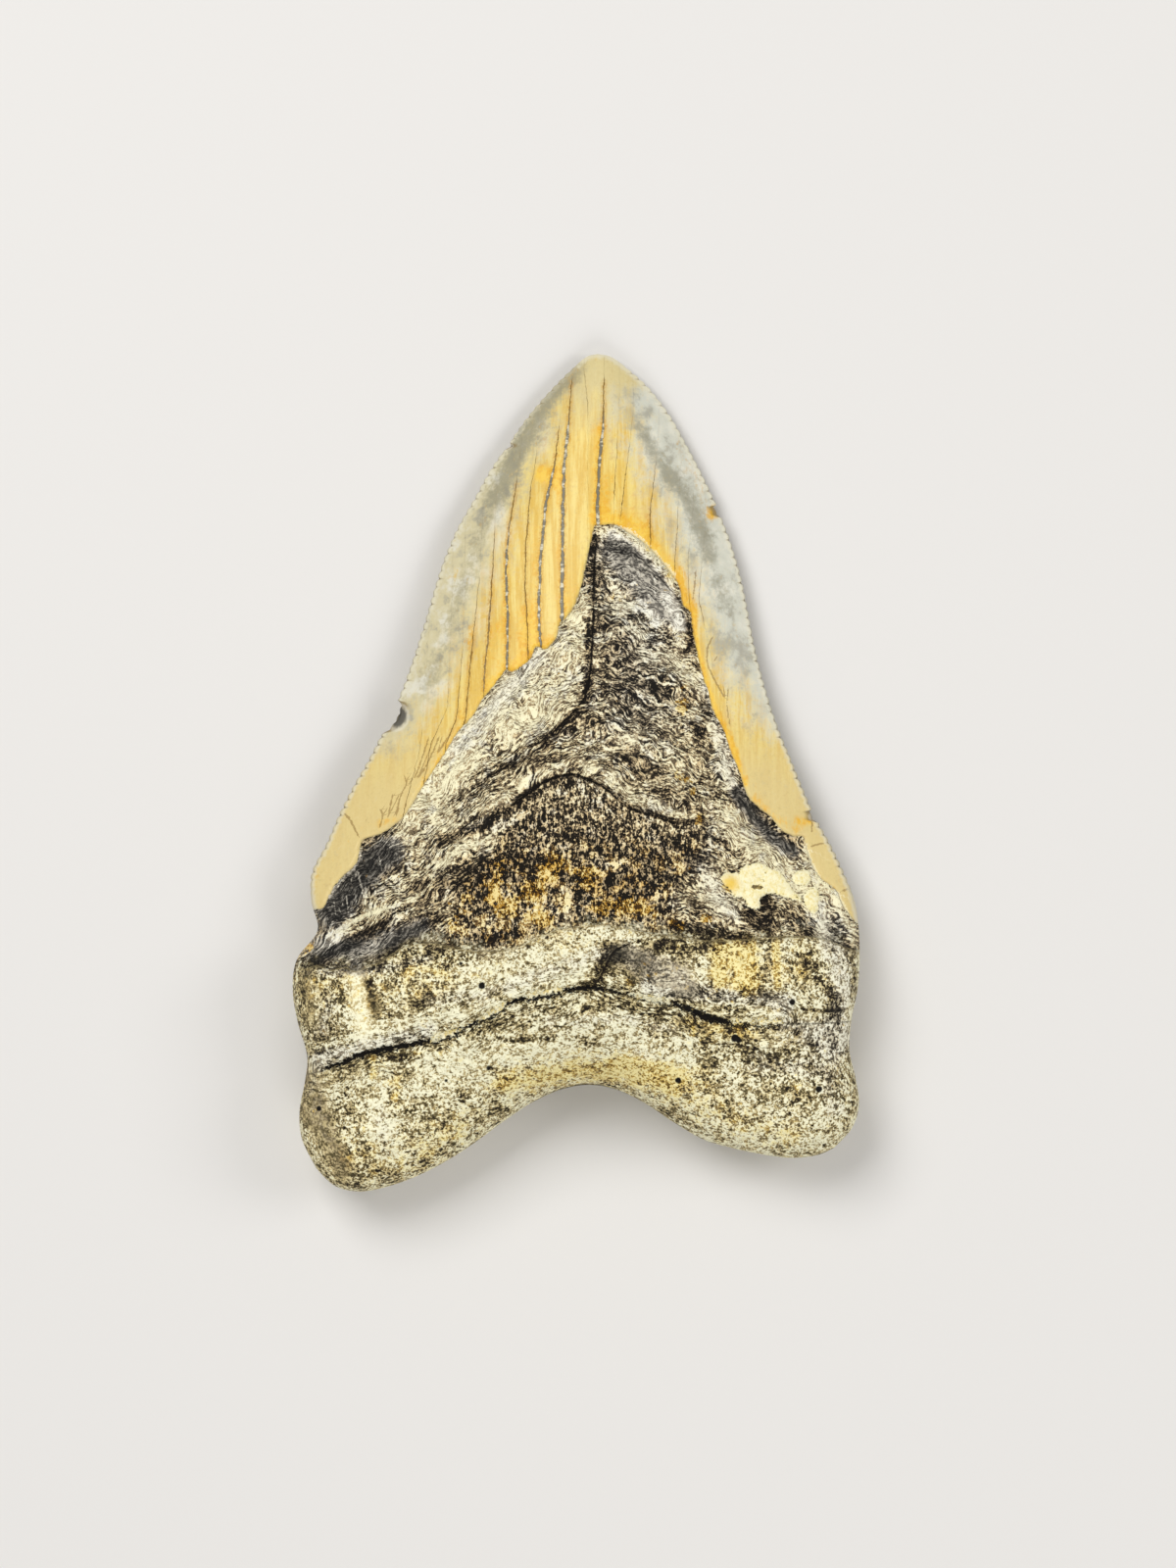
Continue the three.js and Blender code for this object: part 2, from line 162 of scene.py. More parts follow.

# Broad strokes of lighter and darker tone on the bare core, a few of them painted shade as marked: points,
# half-width in pixels, amount (pale above 0, dark below).
CORE_SHADE = [
    ([(590, 620), (585, 660), (572, 695), (530, 722), (490, 745), (455, 780)], 24, 0.35),
    ([(552, 668), (520, 700), (495, 728), (470, 758)], 9, 0.30),
    ([(682, 610), (694, 640), (700, 655)], 9, 0.30),
    ([(630, 626), (650, 619), (663, 626), (673, 637)], 4, 0.45),
    ([(632, 605), (632, 616)], 6, 0.30),
    ([(608, 652), (625, 645), (645, 642), (660, 650)], 4, 0.28),
    ([(655, 665), (685, 672), (700, 695)], 8, 0.22),
    ([(703, 690), (714, 705), (712, 730)], 5, 0.25),
    ([(600, 752), (640, 754), (680, 768), (700, 790)], 10, 0.16),
    ([(520, 745), (545, 748), (560, 735)], 14, 0.20),
    ([(748, 836), (764, 856), (790, 880)], 16, 0.40),
    ([(804, 905), (826, 924)], 13, 0.28),
    ([(436, 825), (458, 842)], 14, 0.22),
    ([(535, 940), (548, 930)], 9, 0.20),
    ([(722, 740), (736, 762), (742, 796)], 7, 0.38),
    ([(468, 768), (445, 800), (432, 825), (420, 845)], 18, 0.30),
    ([(430, 872), (408, 900)], 10, 0.10),
    ([(522, 824), (500, 846), (468, 866), (440, 890)], 6, 0.38),
    ([(505, 855), (475, 870), (460, 876)], 5, 0.28),
    ([(500, 824), (540, 800), (565, 786), (586, 776), (604, 784), (622, 792)], 6, 0.22),
    ([(618, 794), (640, 811), (662, 821), (702, 833)], 5, 0.26),
    ([(560, 774), (582, 771)], 7, -0.14),
    ([(580, 905), (578, 955)], 4, 0.45),
    ([(720, 894), (730, 914), (742, 926)], 10, 0.42),
    ([(392, 926), (368, 935), (342, 956)], 5, 0.36),
    ([(726, 700), (712, 690)], 5, 0.20),
    ([(818, 872), (824, 884), (836, 902), (852, 918)], 6, 0.38),
    ([(838, 930), (836, 970)], 6, 0.45),
    ([(850, 915), (860, 935), (868, 955)], 4, 0.35),
    # Painted shade on the split ledge's wall (this stroke and the next).
    ([(605, 552), (603, 580), (602, 620)], 6, -0.26),
    ([(600, 632), (600, 690), (597, 716)], 4, -0.36),
    ([(611, 640), (606, 652)], 7, -0.34),
    ([(616, 644), (640, 637), (650, 631), (662, 642), (680, 657)], 6, -0.14),
    ([(622, 558), (646, 567)], 6, -0.24),
    # Painted shade in the gap between the core and the enamel.
    ([(703, 640), (704, 662)], 4, -0.60),
    ([(712, 712), (720, 732), (714, 750)], 5, -0.34),
    ([(565, 750), (590, 735), (612, 738)], 9, -0.14),
    ([(470, 872), (530, 882)], 13, -0.22),
    ([(400, 972), (450, 972), (476, 968)], 9, -0.42),
    ([(668, 962), (740, 966)], 8, -0.30),
    # Painted shade along the lower part of the split ledge.
    ([(596, 722), (580, 736), (565, 749), (548, 758)], 5, -0.22),
    ([(622, 716), (640, 727), (656, 741), (676, 752)], 4, -0.12),
    ([(634, 668), (640, 690)], 26, -0.12),
    ([(560, 762), (520, 783), (496, 800), (474, 816)], 6, -0.18),
    # Painted shade below the arch ledge.
    ([(545, 803), (520, 826), (500, 837)], 5, -0.45),
    ([(640, 778), (664, 788)], 8, -0.14),
    ([(392, 872), (374, 886), (360, 906), (345, 930)], 16, -0.34),
    ([(452, 900), (492, 898)], 13, -0.28),
    ([(396, 942), (378, 952), (352, 968), (322, 978)], 5, -0.38),
    ([(440, 940), (412, 956)], 12, -0.20),
    ([(540, 845), (620, 850)], 24, -0.11),
    ([(590, 905), (665, 905)], 14, -0.16),
    ([(656, 874), (690, 866)], 16, -0.14),
    ([(690, 946), (735, 954), (762, 957)], 7, -0.46),
    ([(530, 950), (495, 958)], 6, -0.30),
    ([(450, 857), (466, 851), (500, 842)], 6, -0.36),
    # Painted shadow beneath the right enamel edge.
    ([(751, 810), (768, 834), (787, 855), (808, 869)], 8, -0.36),
    ([(780, 916), (782, 930)], 7, -0.48),
    ([(764, 929), (772, 940)], 7, -0.42),
    ([(743, 912), (745, 917)], 4, -0.20),
    ([(806, 888), (816, 902)], 8, 0.34),
    ([(612, 596), (612, 630)], 8, -0.20),
    ([(604, 708), (642, 705)], 8, -0.16),
    ([(720, 856), (708, 890)], 10, -0.28),
    ([(612, 545), (640, 550), (664, 569), (684, 593)], 4, 0.30),
    ([(545, 878), (566, 880)], 10, -0.16),
    ([(660, 698), (678, 704)], 8, -0.20),
    ([(640, 584), (668, 606)], 14, 0.04),
]
# Broad strokes of lighter and darker tone on the root, one of them painted shade as marked.
ROOT_SHADE = [
    ([(480, 994), (530, 980), (582, 970), (630, 958)], 16, 0.16),
    ([(366, 992), (367, 1018), (370, 1042), (378, 1056)], 9, 0.42),
    ([(400, 1046), (440, 1041), (470, 1030)], 10, 0.22),
    ([(325, 1080), (360, 1072), (400, 1063)], 4, 0.25),
    ([(392, 1108), (386, 1140), (396, 1175)], 13, 0.26),
    ([(436, 1090), (462, 1105)], 16, 0.20),
    ([(460, 1072), (540, 1066), (592, 1072)], 12, 0.26),
    ([(596, 985), (580, 995)], 14, 0.18),
    ([(745, 968), (748, 1000)], 18, 0.24),
    ([(790, 968), (788, 1004)], 5, 0.28),
    ([(844, 975), (851, 1000)], 6, 0.36),
    ([(861, 990), (863, 1030), (860, 1060)], 5, 0.40),
    ([(760, 1150), (820, 1160), (850, 1138)], 18, 0.10),
    ([(690, 1070), (686, 1094)], 6, 0.24),
    ([(645, 1066), (682, 1060)], 13, 0.18),
    ([(600, 1046), (650, 1042)], 9, 0.14),
    ([(470, 1085), (590, 1082), (690, 1084)], 20, 0.16),
    # Painted shadow on the right of the pale ridge.
    ([(379, 1000), (383, 1018), (387, 1034)], 4, -0.55),
    ([(856, 950), (866, 985), (868, 1012)], 6, -0.32),
    ([(838, 992), (852, 1040)], 8, -0.30),
    ([(624, 964), (630, 974)], 8, -0.50),
    ([(620, 978), (614, 992), (597, 1007)], 6, -0.62),
    ([(306, 1000), (308, 1040), (324, 1062)], 12, -0.18),
    ([(316, 1110), (328, 1150), (348, 1186)], 26, -0.17),
    ([(345, 1100), (362, 1112)], 12, -0.10),
    ([(380, 1081), (420, 1073), (456, 1065)], 5, -0.30),
    ([(490, 1052), (530, 1034), (590, 1022)], 8, -0.10),
    ([(518, 1058), (565, 1054)], 5, -0.36),
    ([(469, 1112), (477, 1121)], 6, -0.42),
    ([(505, 1120), (510, 1126)], 4, -0.35),
    ([(392, 1160), (394, 1170)], 5, -0.40),
    ([(502, 1078), (506, 1096)], 5, -0.25),
    ([(312, 986), (350, 986), (388, 984)], 7, -0.34),
    ([(640, 972), (658, 984), (640, 996)], 15, -0.30),
    ([(660, 966), (690, 972)], 10, -0.14),
    ([(783, 938), (783, 970), (780, 998)], 5, -0.38),
    ([(745, 964), (746, 998)], 3, -0.20),
    ([(810, 925), (825, 960)], 10, -0.20),
    ([(612, 1016), (660, 1027), (704, 1040)], 8, -0.34),
    ([(716, 1060), (740, 1064), (772, 1066)], 6, -0.28),
    ([(760, 1076), (800, 1071), (830, 1069)], 7, -0.14),
    ([(722, 1010), (790, 1012)], 8, -0.18),
    ([(850, 1131), (851, 1132)], 6, -0.28),
    ([(812, 1118), (798, 1130)], 10, -0.18),
    ([(320, 1010), (400, 1015), (450, 1008)], 22, -0.10),
    ([(490, 1010), (540, 1004)], 12, 0.14),
    ([(350, 1180), (390, 1196), (440, 1182)], 18, -0.08),
    ([(700, 1006), (760, 1014)], 10, -0.12),
    ([(780, 1085), (850, 1092)], 20, -0.12),
    ([(640, 1028), (690, 1042)], 8, -0.08),
    ([(600, 1057), (608, 1058)], 9, -0.14),
    ([(617, 968), (613, 984)], 5, -0.35),
    ([(806, 970), (836, 998)], 14, -0.20),
    ([(676, 1026), (728, 1040)], 6, -0.10),
    ([(452, 1064), (480, 1052), (506, 1042), (522, 1033)], 5, -0.24),
    ([(534, 1022), (556, 1018), (578, 1014)], 5, -0.24),
    ([(748, 1047), (796, 1047)], 4, -0.22),
    ([(742, 1050), (774, 1056)], 7, -0.18),
    ([(346, 1125), (364, 1158)], 12, -0.10),
]
# Fine lines: points, half-width in pixels, amount (white above 0, black below). The black lines along the
# split and arch ledges are painted shadow.
FINE_LINES = [
    ([(612, 539), (640, 544), (660, 561), (680, 581), (692, 601)], 3.2, 0.9),
    ([(613, 545), (614, 561)], 1.6, 0.7),
    ([(350, 828), (358, 836), (363, 845), (369, 856)], 1.0, -0.5),
    ([(828, 837), (827, 850)], 1.0, -0.6),
    ([(824, 864), (834, 861), (843, 860)], 0.8, -0.4),
    ([(856, 909), (866, 906)], 1.0, -0.5),
    ([(440, 748), (428, 785), (419, 802)], 0.8, -0.5),
    ([(451, 748), (437, 780), (425, 797)], 0.8, -0.5),
    ([(460, 750), (447, 770)], 0.8, -0.5),
    ([(412, 788), (416, 800), (410, 812), (405, 836)], 0.9, -0.5),
    ([(403, 808), (400, 820), (397, 836)], 0.8, -0.5),
    ([(388, 824), (392, 832), (388, 846)], 0.8, -0.5),
    ([(710, 580), (708, 600), (706, 616)], 0.8, -0.5),
    ([(730, 645), (722, 660), (721, 676), (726, 690), (735, 706), (742, 719)], 0.8, -0.5),
    ([(727, 677), (732, 669)], 0.6, -0.4),
    ([(743, 698), (741, 720), (745, 745)], 0.6, -0.4),
    ([(640, 823), (652, 828), (668, 825)], 1.2, -0.8),
    ([(448, 879), (441, 886), (437, 900), (430, 910)], 1.4, -0.7),
    ([(811, 1026), (838, 1029), (866, 1027)], 1.6, -0.9),
    ([(796, 1059), (820, 1062), (845, 1066)], 1.0, -0.6),
    ([(637, 1010), (650, 1014), (666, 1018), (688, 1021)], 1.8, 0.9),
    ([(520, 1059), (545, 1058)], 1.2, -0.7),
    ([(765, 905), (771, 904), (778, 905)], 1.8, -0.8),
    ([(779, 890), (781, 891)], 1.6, -0.9),
    ([(809, 855), (818, 857), (824, 874), (836, 898), (852, 911), (864, 933), (872, 942)], 1.8, 0.8),
    ([(372, 858), (370, 868), (365, 883), (352, 895), (342, 908), (334, 922)], 1.4, 0.6),
    # Painted shadow along the split ledge and the arch ledge, in this line and the next four.
    ([(609, 552), (606, 580), (606, 613)], 0.9, -0.6),
    ([(606, 613), (604, 653), (602, 689), (595, 718)], 0.9, -0.6),
    ([(595, 723), (578, 737), (568, 754), (544, 768), (530, 778), (499, 792), (482, 809)], 1.2, -0.55),
    ([(509, 826), (530, 812), (547, 802), (561, 795), (578, 791), (595, 794), (613, 800), (626, 811),
      (644, 823)], 1.5, -0.85),
    ([(644, 823), (664, 830), (685, 835), (714, 838)], 1.4, -0.9),
    ([(609, 651), (637, 644), (654, 640), (668, 647), (681, 657)], 1.4, 0.6),
    ([(637, 623), (650, 620), (661, 630), (671, 637)], 1.6, 0.7),
    ([(650, 568), (671, 589), (692, 613), (702, 630)], 0.8, -0.55),
    ([(595, 723), (613, 726), (630, 737), (650, 750), (671, 754)], 1.2, -0.6),
    ([(623, 768), (643, 778), (650, 792)], 1.2, -0.6),
    ([(328, 962), (345, 949), (368, 936), (392, 927), (418, 919), (434, 908), (443, 893), (450, 881)],
     2.4, 0.7),
    ([(355, 912), (357, 930)], 0.9, 0.7),
    ([(366, 886), (371, 906), (376, 926)], 1.0, 0.7),
    ([(377, 902), (380, 922)], 0.9, 0.6),
    ([(342, 918), (345, 934)], 0.8, 0.6),
    ([(388, 872), (392, 890)], 0.8, 0.5),
    ([(456, 876), (470, 868), (486, 862), (504, 850)], 1.8, 0.6),
    ([(330, 972), (356, 958), (384, 944), (402, 936)], 1.6, -0.7),
]
# Yellow stains on the bare core, its crust and the root (x, y, half-width, half-height, amount).
STAIN_SPOTS = [
    (561, 889, 12, 10, 1.0), (543, 908, 12, 10, 1.2), (511, 890, 8, 14, 0.8), (503, 912, 8, 12, 0.7),
    (599, 892, 13, 12, 0.9), (480, 914, 10, 14, 0.5), (466, 940, 12, 12, 0.5), (518, 925, 13, 11, 0.9),
    (545, 934, 10, 8, 0.7), (557, 937, 8, 9, 0.8), (612, 925, 14, 9, 0.6), (657, 926, 12, 9, 0.7),
    (636, 922, 14, 9, 0.9), (690, 942, 10, 6, 0.8), (718, 936, 12, 7, 0.6), (567, 878, 10, 9, 0.8),
    (632, 610, 8, 9, 0.4), (695, 722, 5, 9, 0.9), (697, 702, 5, 6, 0.6), (714, 834, 5, 8, 0.8),
    (706, 808, 4, 7, 0.8), (697, 795, 7, 5, 0.6), (690, 790, 5, 5, 0.4), (316, 965, 7, 6, 0.7),
    (326, 1040, 6, 5, 0.4), (378, 1076, 8, 4, 0.5), (744, 901, 10, 10, 0.85), (642, 1002, 5, 5, 0.7),
    (662, 994, 4, 5, 0.5), (743, 1022, 6, 5, 0.4), (757, 1044, 14, 4, 0.8), (703, 1050, 8, 5, 0.6),
    (668, 559, 10, 6, 1.0), (686, 583, 6, 10, 1.0), (810, 1102, 5, 8, 0.5), (710, 1044, 6, 5, 0.3),
    (372, 1012, 6, 30, 0.3), (366, 1122, 6, 6, 0.3), (405, 1115, 6, 12, 0.25), (383, 1092, 5, 12, 0.3),
]
# Where the cream of the enamel turns grey: up the left side, then down the right one.
GREY_LEFT = [
    (380, 812), (404, 778), (438, 735), (468, 680), (492, 620), (515, 560), (532, 500), (556, 440),
    (568, 395),
]
GREY_RIGHT = [
    (632, 395), (640, 440), (654, 480), (672, 520), (690, 560), (706, 600), (718, 640), (730, 676),
    (758, 712), (792, 756),
]
# Strokes of darker grey and of orange in the enamel: points, half-width in pixels, amount. The darker grey
# is
# partly painted shade: a band along the tip's left edge and a thin line beside the enamel's broken edge.
DARK_GREY_AND_SHADE = [
    # Painted shade along the tip's left edge.
    ([(582, 380), (562, 403), (546, 428), (532, 454), (520, 480), (508, 506)], 13, 1.00),
    ([(500, 520), (482, 575), (456, 650), (438, 700)], 12, 0.45),
    ([(655, 440), (668, 465), (682, 485)], 9, 0.75),
    ([(686, 490), (704, 515), (716, 545), (724, 570)], 10, 0.95),
    ([(732, 594), (740, 618)], 10, 0.60),
    # Painted shade: a thin dark line beside the enamel's broken edge.
    ([(603, 555), (595, 603), (586, 624)], 2, 0.50),
    ([(415, 715), (408, 728)], 6, 0.30),
    ([(548, 636), (550, 648)], 4, 0.50),
]
ORANGE = [
    ([(612, 531), (640, 536), (664, 556), (688, 586), (703, 625)], 10, 0.85),
    ([(703, 625), (711, 660), (721, 700), (733, 735), (748, 765), (758, 800)], 5, 0.90),
    ([(548, 540), (546, 600), (547, 655)], 6, 0.55),
    ([(517, 570), (515, 630), (514, 685)], 6, 0.55),
    ([(505, 640), (498, 700)], 7, 0.55),
    ([(534, 625), (545, 660)], 10, 0.60),
    ([(554, 486), (567, 490)], 10, 1.40),
    ([(611, 440), (607, 480), (606, 530)], 7, 0.65),
    ([(622, 490), (615, 528)], 9, 0.50),
    ([(642, 490), (650, 535)], 9, 0.25),
    ([(572, 460), (571, 540), (570, 620)], 5, 0.45),
    ([(560, 655), (530, 678), (505, 695), (488, 716), (468, 747), (448, 778), (428, 806)], 6, 0.60),
    ([(586, 600), (577, 625)], 5, 0.40),
    ([(530, 500), (520, 540)], 5, 0.35),
    ([(484, 640), (478, 690), (470, 730)], 5, 0.40),
    ([(660, 500), (660, 545)], 5, 0.35),
    ([(467, 582), (463, 590)], 5, 0.35),
    ([(730, 520), (728, 526)], 6, 0.90),
    ([(579, 588), (574, 632)], 5, 0.55),
    ([(540, 636), (530, 676)], 9, 0.55),
    ([(815, 838), (826, 838)], 6, 0.70),
    ([(372, 845), (405, 835)], 6, 0.35),
    ([(768, 815), (790, 833), (812, 848)], 5, 0.40),
]
# Smooth zones of the core and the root, their grey zones, and the root's yellow zones: points, half-width
# in pixels, amount.
CALM = [
    ([(398, 868), (376, 884), (360, 906), (340, 930)], 20, 0.95),
    ([(751, 810), (768, 834), (787, 855), (808, 869)], 10, 0.80),
    ([(325, 968), (380, 966), (430, 946)], 15, 0.75),
    ([(366, 994), (368, 1018), (372, 1044)], 12, 0.95),
    ([(384, 1010), (388, 1034)], 6, 0.70),
    ([(320, 1096), (326, 1140), (350, 1186)], 22, 0.80),
    ([(312, 996), (322, 1040)], 16, 0.60),
    ([(634, 974), (672, 986), (696, 998)], 18, 0.95),
    ([(630, 556), (658, 582), (682, 612), (696, 642)], 7, 0.60),
    ([(626, 562), (654, 588), (676, 622)], 24, 0.70),
]
COOL = [
    ([(640, 590), (655, 660), (650, 720)], 36, 0.60),
    ([(552, 670), (520, 702), (495, 730), (466, 764)], 10, 0.85),
    ([(722, 706), (737, 752), (745, 796)], 9, 0.85),
    ([(714, 880), (727, 908), (742, 928)], 10, 0.70),
    ([(318, 1092), (330, 1140), (352, 1182)], 20, 0.55),
    ([(330, 1078), (380, 1064), (440, 1050)], 11, 0.95),
    ([(638, 972), (690, 992)], 18, 1.00),
    ([(660, 1004), (720, 1012), (800, 1018)], 11, 0.95),
    ([(840, 940), (858, 1000), (850, 1056)], 17, 0.90),
    ([(800, 1042), (850, 1060)], 16, 0.80),
    ([(440, 1018), (500, 1010), (560, 990), (610, 970)], 14, 0.65),
    ([(340, 1018), (330, 1050)], 13, 0.70),
    ([(770, 1080), (840, 1090), (850, 1125)], 20, 0.65),
    ([(560, 1040), (640, 1036), (690, 1050)], 12, 0.60),
    ([(650, 1072), (690, 1088)], 10, 0.60),
    ([(390, 1130), (396, 1175)], 12, 0.60),
    ([(330, 990), (400, 986), (440, 976)], 8, 0.80),
]
WARM = [
    ([(330, 1005), (410, 1008), (460, 998)], 18, 0.30),
    ([(700, 1040), (760, 1052)], 12, 0.50),
    ([(640, 1082), (720, 1096)], 12, 0.40),
    ([(515, 1102), (590, 1088), (680, 1098)], 15, 0.80),
    ([(732, 966), (732, 996)], 9, 1.10),
    ([(757, 966), (760, 1000)], 13, 1.50),
    ([(790, 960), (791, 1004)], 5, 0.90),
    ([(815, 968), (812, 996)], 12, 0.35),
    ([(690, 1108), (740, 1136), (800, 1156)], 18, 0.40),
    ([(360, 1175), (420, 1180), (470, 1145)], 20, 0.40),
    ([(383, 1075), (385, 1096)], 6, 0.60),
    ([(407, 1095), (404, 1122)], 7, 0.55),
    ([(560, 950), (600, 960)], 12, 0.25),
    ([(416, 984), (446, 986)], 8, 0.40),
    ([(624, 1078), (640, 1080)], 8, 0.50),
]
# Outlines of the pale crust on the right of the bare core.
CRUST = [
    [(733, 895), (738, 889), (746, 889), (752, 890), (753, 885), (762, 881), (772, 879), (780, 882),
     (787, 886), (795, 889), (799, 894), (803, 900), (807, 906), (814, 913), (819, 920), (811, 918),
     (796, 914), (786, 911), (780, 912), (775, 914), (773, 920), (774, 925), (768, 927), (761, 924),
     (758, 917), (752, 914), (747, 915), (745, 909), (741, 904), (736, 901)],
    [(806, 893), (812, 888), (818, 886), (824, 889), (827, 896), (822, 903), (815, 903), (808, 900)],
    [(819, 911), (824, 905), (832, 904), (835, 912), (834, 920), (833, 928), (828, 933), (822, 927),
     (818, 920)],
]
# How far the long root crack is filled with pale grit, from 0 to 1, at pixels along x.
CRACK_FILL = [
    (329, 0.0), (440, 0.0), (443, 1.0), (451, 1.0), (455, 0.7), (482, 0.3), (500, 0.6), (515, 0.7),
    (522, 0.1), (536, 0.0), (540, 1.0), (573, 1.0), (576, 0.0), (640, 0.0), (650, 0.9), (680, 0.7),
    (690, 0.0), (742, 0.0), (746, 1.0), (796, 1.0),
]
# Half-width of its black opening, painted shade, in pixels, at pixels along x.
CRACK_OPEN = [
    (325, -2.0), (330, 1.0), (345, 2.2), (375, 2.8), (405, 3.4), (425, 2.2), (438, 2.0), (443, 3.4),
    (450, 3.4), (454, 2.0), (480, 2.0), (520, 2.4), (536, 2.0), (542, 2.6), (570, 2.6), (576, 2.2),
    (595, 2.6), (612, 2.0), (640, 0.8), (680, 1.0), (696, 2.6), (715, 3.4), (738, 3.0), (746, 1.8),
    (796, 1.4), (800, -2.0),
]
# The zone under the arch ledge where the core breaks into upright fibres.
FIBRE_ZONE = [
    (507, 832), (540, 810), (583, 790), (619, 806), (651, 828), (713, 840), (712, 868), (690, 900),
    (684, 950), (600, 945), (520, 965), (455, 965), (470, 905), (505, 870),
]

# Mesh fineness: rows from root to tip, columns across the upper face (the lower face has half as many).
ROWS = 440
COLUMNS = 150
# Points along each spline of the outline, and between each pair of points of a drawn line.
OUTLINE_FINENESS = 200
LINE_FINENESS = 3

# Teeth of the cutting edges in millimetres: spacing, depth, how far inwards they fade, and the places
# along y between which they start at the root and end at the tip.
SERRATION_PITCH = 1.3
SERRATION_DEPTH = 0.32
SERRATION_FADE = 0.9
SERRATION_START = (-20, -14)
SERRATION_END = (58, 60.5)
# Power that rounds the teeth, and the share of the width about the middle that has none.
SERRATION_POWER = 0.7
SERRATION_CLEAR = 0.2
# Places along y between which the grey enamel starts at the root and ends at the tip, and how far off it
# counts beyond them.
GREY_START = (-4.0, 8.0)
GREY_END = (54.0, 60.0)
GREY_OFF = 6
# Long enamel cracks: the share of their width that is left at the top, where below the top they thin, how
# they fade at each end, the least distance between two of them, and the least gap that is drawn.
CRACK_THIN = 0.35
CRACK_TAPER = (-12.0, -2.0)
CRACK_FOOT = (-0.6, 1.5)
CRACK_HEAD = (-1.0, 0.6)
CRACK_APART = 0.05
CRACK_GAP = 0.3
# Broken ledges: the share of the length in which each end fades, and the width of the step. Fine lines: the
# share in which each end narrows.
LEDGE_ENDS = 0.08
LEDGE_STEP = (-0.15, 0.25)
LINE_ENDS = 0.125
# Thickness of the flaked leaves on the bare core and along the root's crack, how high they stand, and how
# far from the crack.
CORE_LEAF = 1.7
ROOT_LEAF = 1.1
CORE_LEAF_HEIGHT = 0.22
ROOT_LEAF_HEIGHT = 0.16
ROOT_LEAF_REACH = 6.0
# The core's leaves lie in chevrons: their middle line, how blunt the point is, the slope and its lean.
CHEVRON = dict(middle=2.0, blunt=9.0, slope=0.575, lean=0.175)
# Relief of the worn surface in millimetres.
SHADE_HEIGHT = 0.22
CRUST_HEIGHT = 0.55
CRUST_SLOPE = (-0.25, 0.35)
CHIP_DEPTH = 0.9
ROOT_CRACK_DEPTH = 0.9
ROOT_CRACK_HALF = 0.5
GRIT_SHARE = 0.7
# Half-widths over which the surface turns from enamel to core, from core to root, and to the lip-side root.
CORE_TURN = 0.15
ROOT_TURN = 0.3
LIP_TURN = 0.5
# Distances inside the outline over which steps, grain and all relief rise from nothing.
STEP_MARGIN = 4
GRAIN_MARGIN = 3
RELIEF_MARGIN = 0.6
# Ripples as (height, wavelength, seed): wavering of the leaves, grain of the upper face, and grain, shade
# and hairline cracks of the lip side.
CORE_WAVER = [(0.45, 7.0, 3), (0.16, 2.4, 8)]
ROOT_WAVER = [(0.45, 8.0, 4), (0.15, 2.6, 9)]
GRAIN = [(0.08, 3.5, 1), (0.05, 1.6, 2)]
LIP_GRAIN = [(0.10, 4.0, 5)]
LIP_SHADE = [(0.12, 14.0, 7)]
LIP_CRACKS = [(1.0, 20.0, 11)]
LIP_CRACK_HALF = 0.06
# The neck on the lip side, an arch along x that wavers, and the step inwards from the enamel to the root.
LIP_NECK = dict(level=-22.3, arch=3.0, spread=20.0, waver=0.4, turn=0.35)
LIP_STEP = 0.4
# A distance that counts as far off, and a half-width below nothing, at which a line doesn't show.
FAR = 9.0
SHUT = -0.1

# The stage: half the floor's width in millimetres, its roughness, the sky's colour, the lamps as (name,
# place and size in metres, share of the key light's power), and how far the camera sees in metres.
FLOOR_HALF = 4000.0
FLOOR_ROUGHNESS = 0.9
SKY = (1.0, 0.98, 0.95, 1.0)
LAMPS = [
    ("key", (-0.35, 0.40, 0.80), 0.5, 1.0), ("side", (0.7, 0.1, 0.6), 0.4, 0.38),
    ("front", (0.1, -0.7, 0.6), 0.5, 0.40),
]
CAMERA_REACH = 20.0


def shade(code):
    """Linear colour of an sRGB code: about a thirteenth of the darkest levels, and a power of 2.4 above."""
    levels = [int(code[i:i + 2], 16) / 255 for i in (1, 3, 5)]
    linear = [level / 12.92 if level <= 0.04045 else ((level + 0.055) / 1.055) ** 2.4 for level in levels]
    return (*linear, 1.0)


def colour_setting(name, description, code):
    """A colour that a user may change."""
    return bpy.props.FloatVectorProperty(
        name=name, description=description, subtype="COLOR", size=4, min=0.0, max=1.0, default=shade(code))


class ToothSettings(bpy.types.PropertyGroup):
    """Relief strength and colours of the tooth."""

    relief: bpy.props.FloatProperty(
        name="Relief", description="Strength of the fine surface relief", default=1.0, min=0.0, max=3.0)
    enamel: colour_setting("Enamel", "Cream of the surviving enamel", "#F2DA84")
    enamel_deep: colour_setting("Deep Enamel", "Darker streaks in the cream", "#E4BE5C")
    enamel_tip: colour_setting("Tip", "Duller enamel at the tip", "#D8CA98")
    enamel_grey: colour_setting("Grey Enamel", "Cool grey near the cutting edges", "#D2D4C8")
    # Also the colour of painted shade along the tip's left edge and beside the enamel's broken edge.
    enamel_dim_and_shade: colour_setting("Dark Grey Enamel", "Darker grey patches", "#918D78")
    enamel_orange: colour_setting("Orange Enamel", "Orange stain along breaks in the enamel", "#F7CF58")
    enamel_low: colour_setting("Low Enamel", "Paler enamel beside the bare core's foot", "#E0CB8F")


class StageSettings(bpy.types.PropertyGroup):
    """Floor, light and camera."""

    floor: colour_setting("Floor", "Colour of the floor", "#E4E2DF")
    distance: bpy.props.FloatProperty(
        name="Camera Distance", description="Height of the camera over the tooth", unit="LENGTH",
        default=1.5)
    key: bpy.props.FloatProperty(name="Key Light", description="Power of the main light", default=5.6)
    fill: bpy.props.FloatProperty(
        name="Fill Light", description="Strength of the light all round", default=0.30)


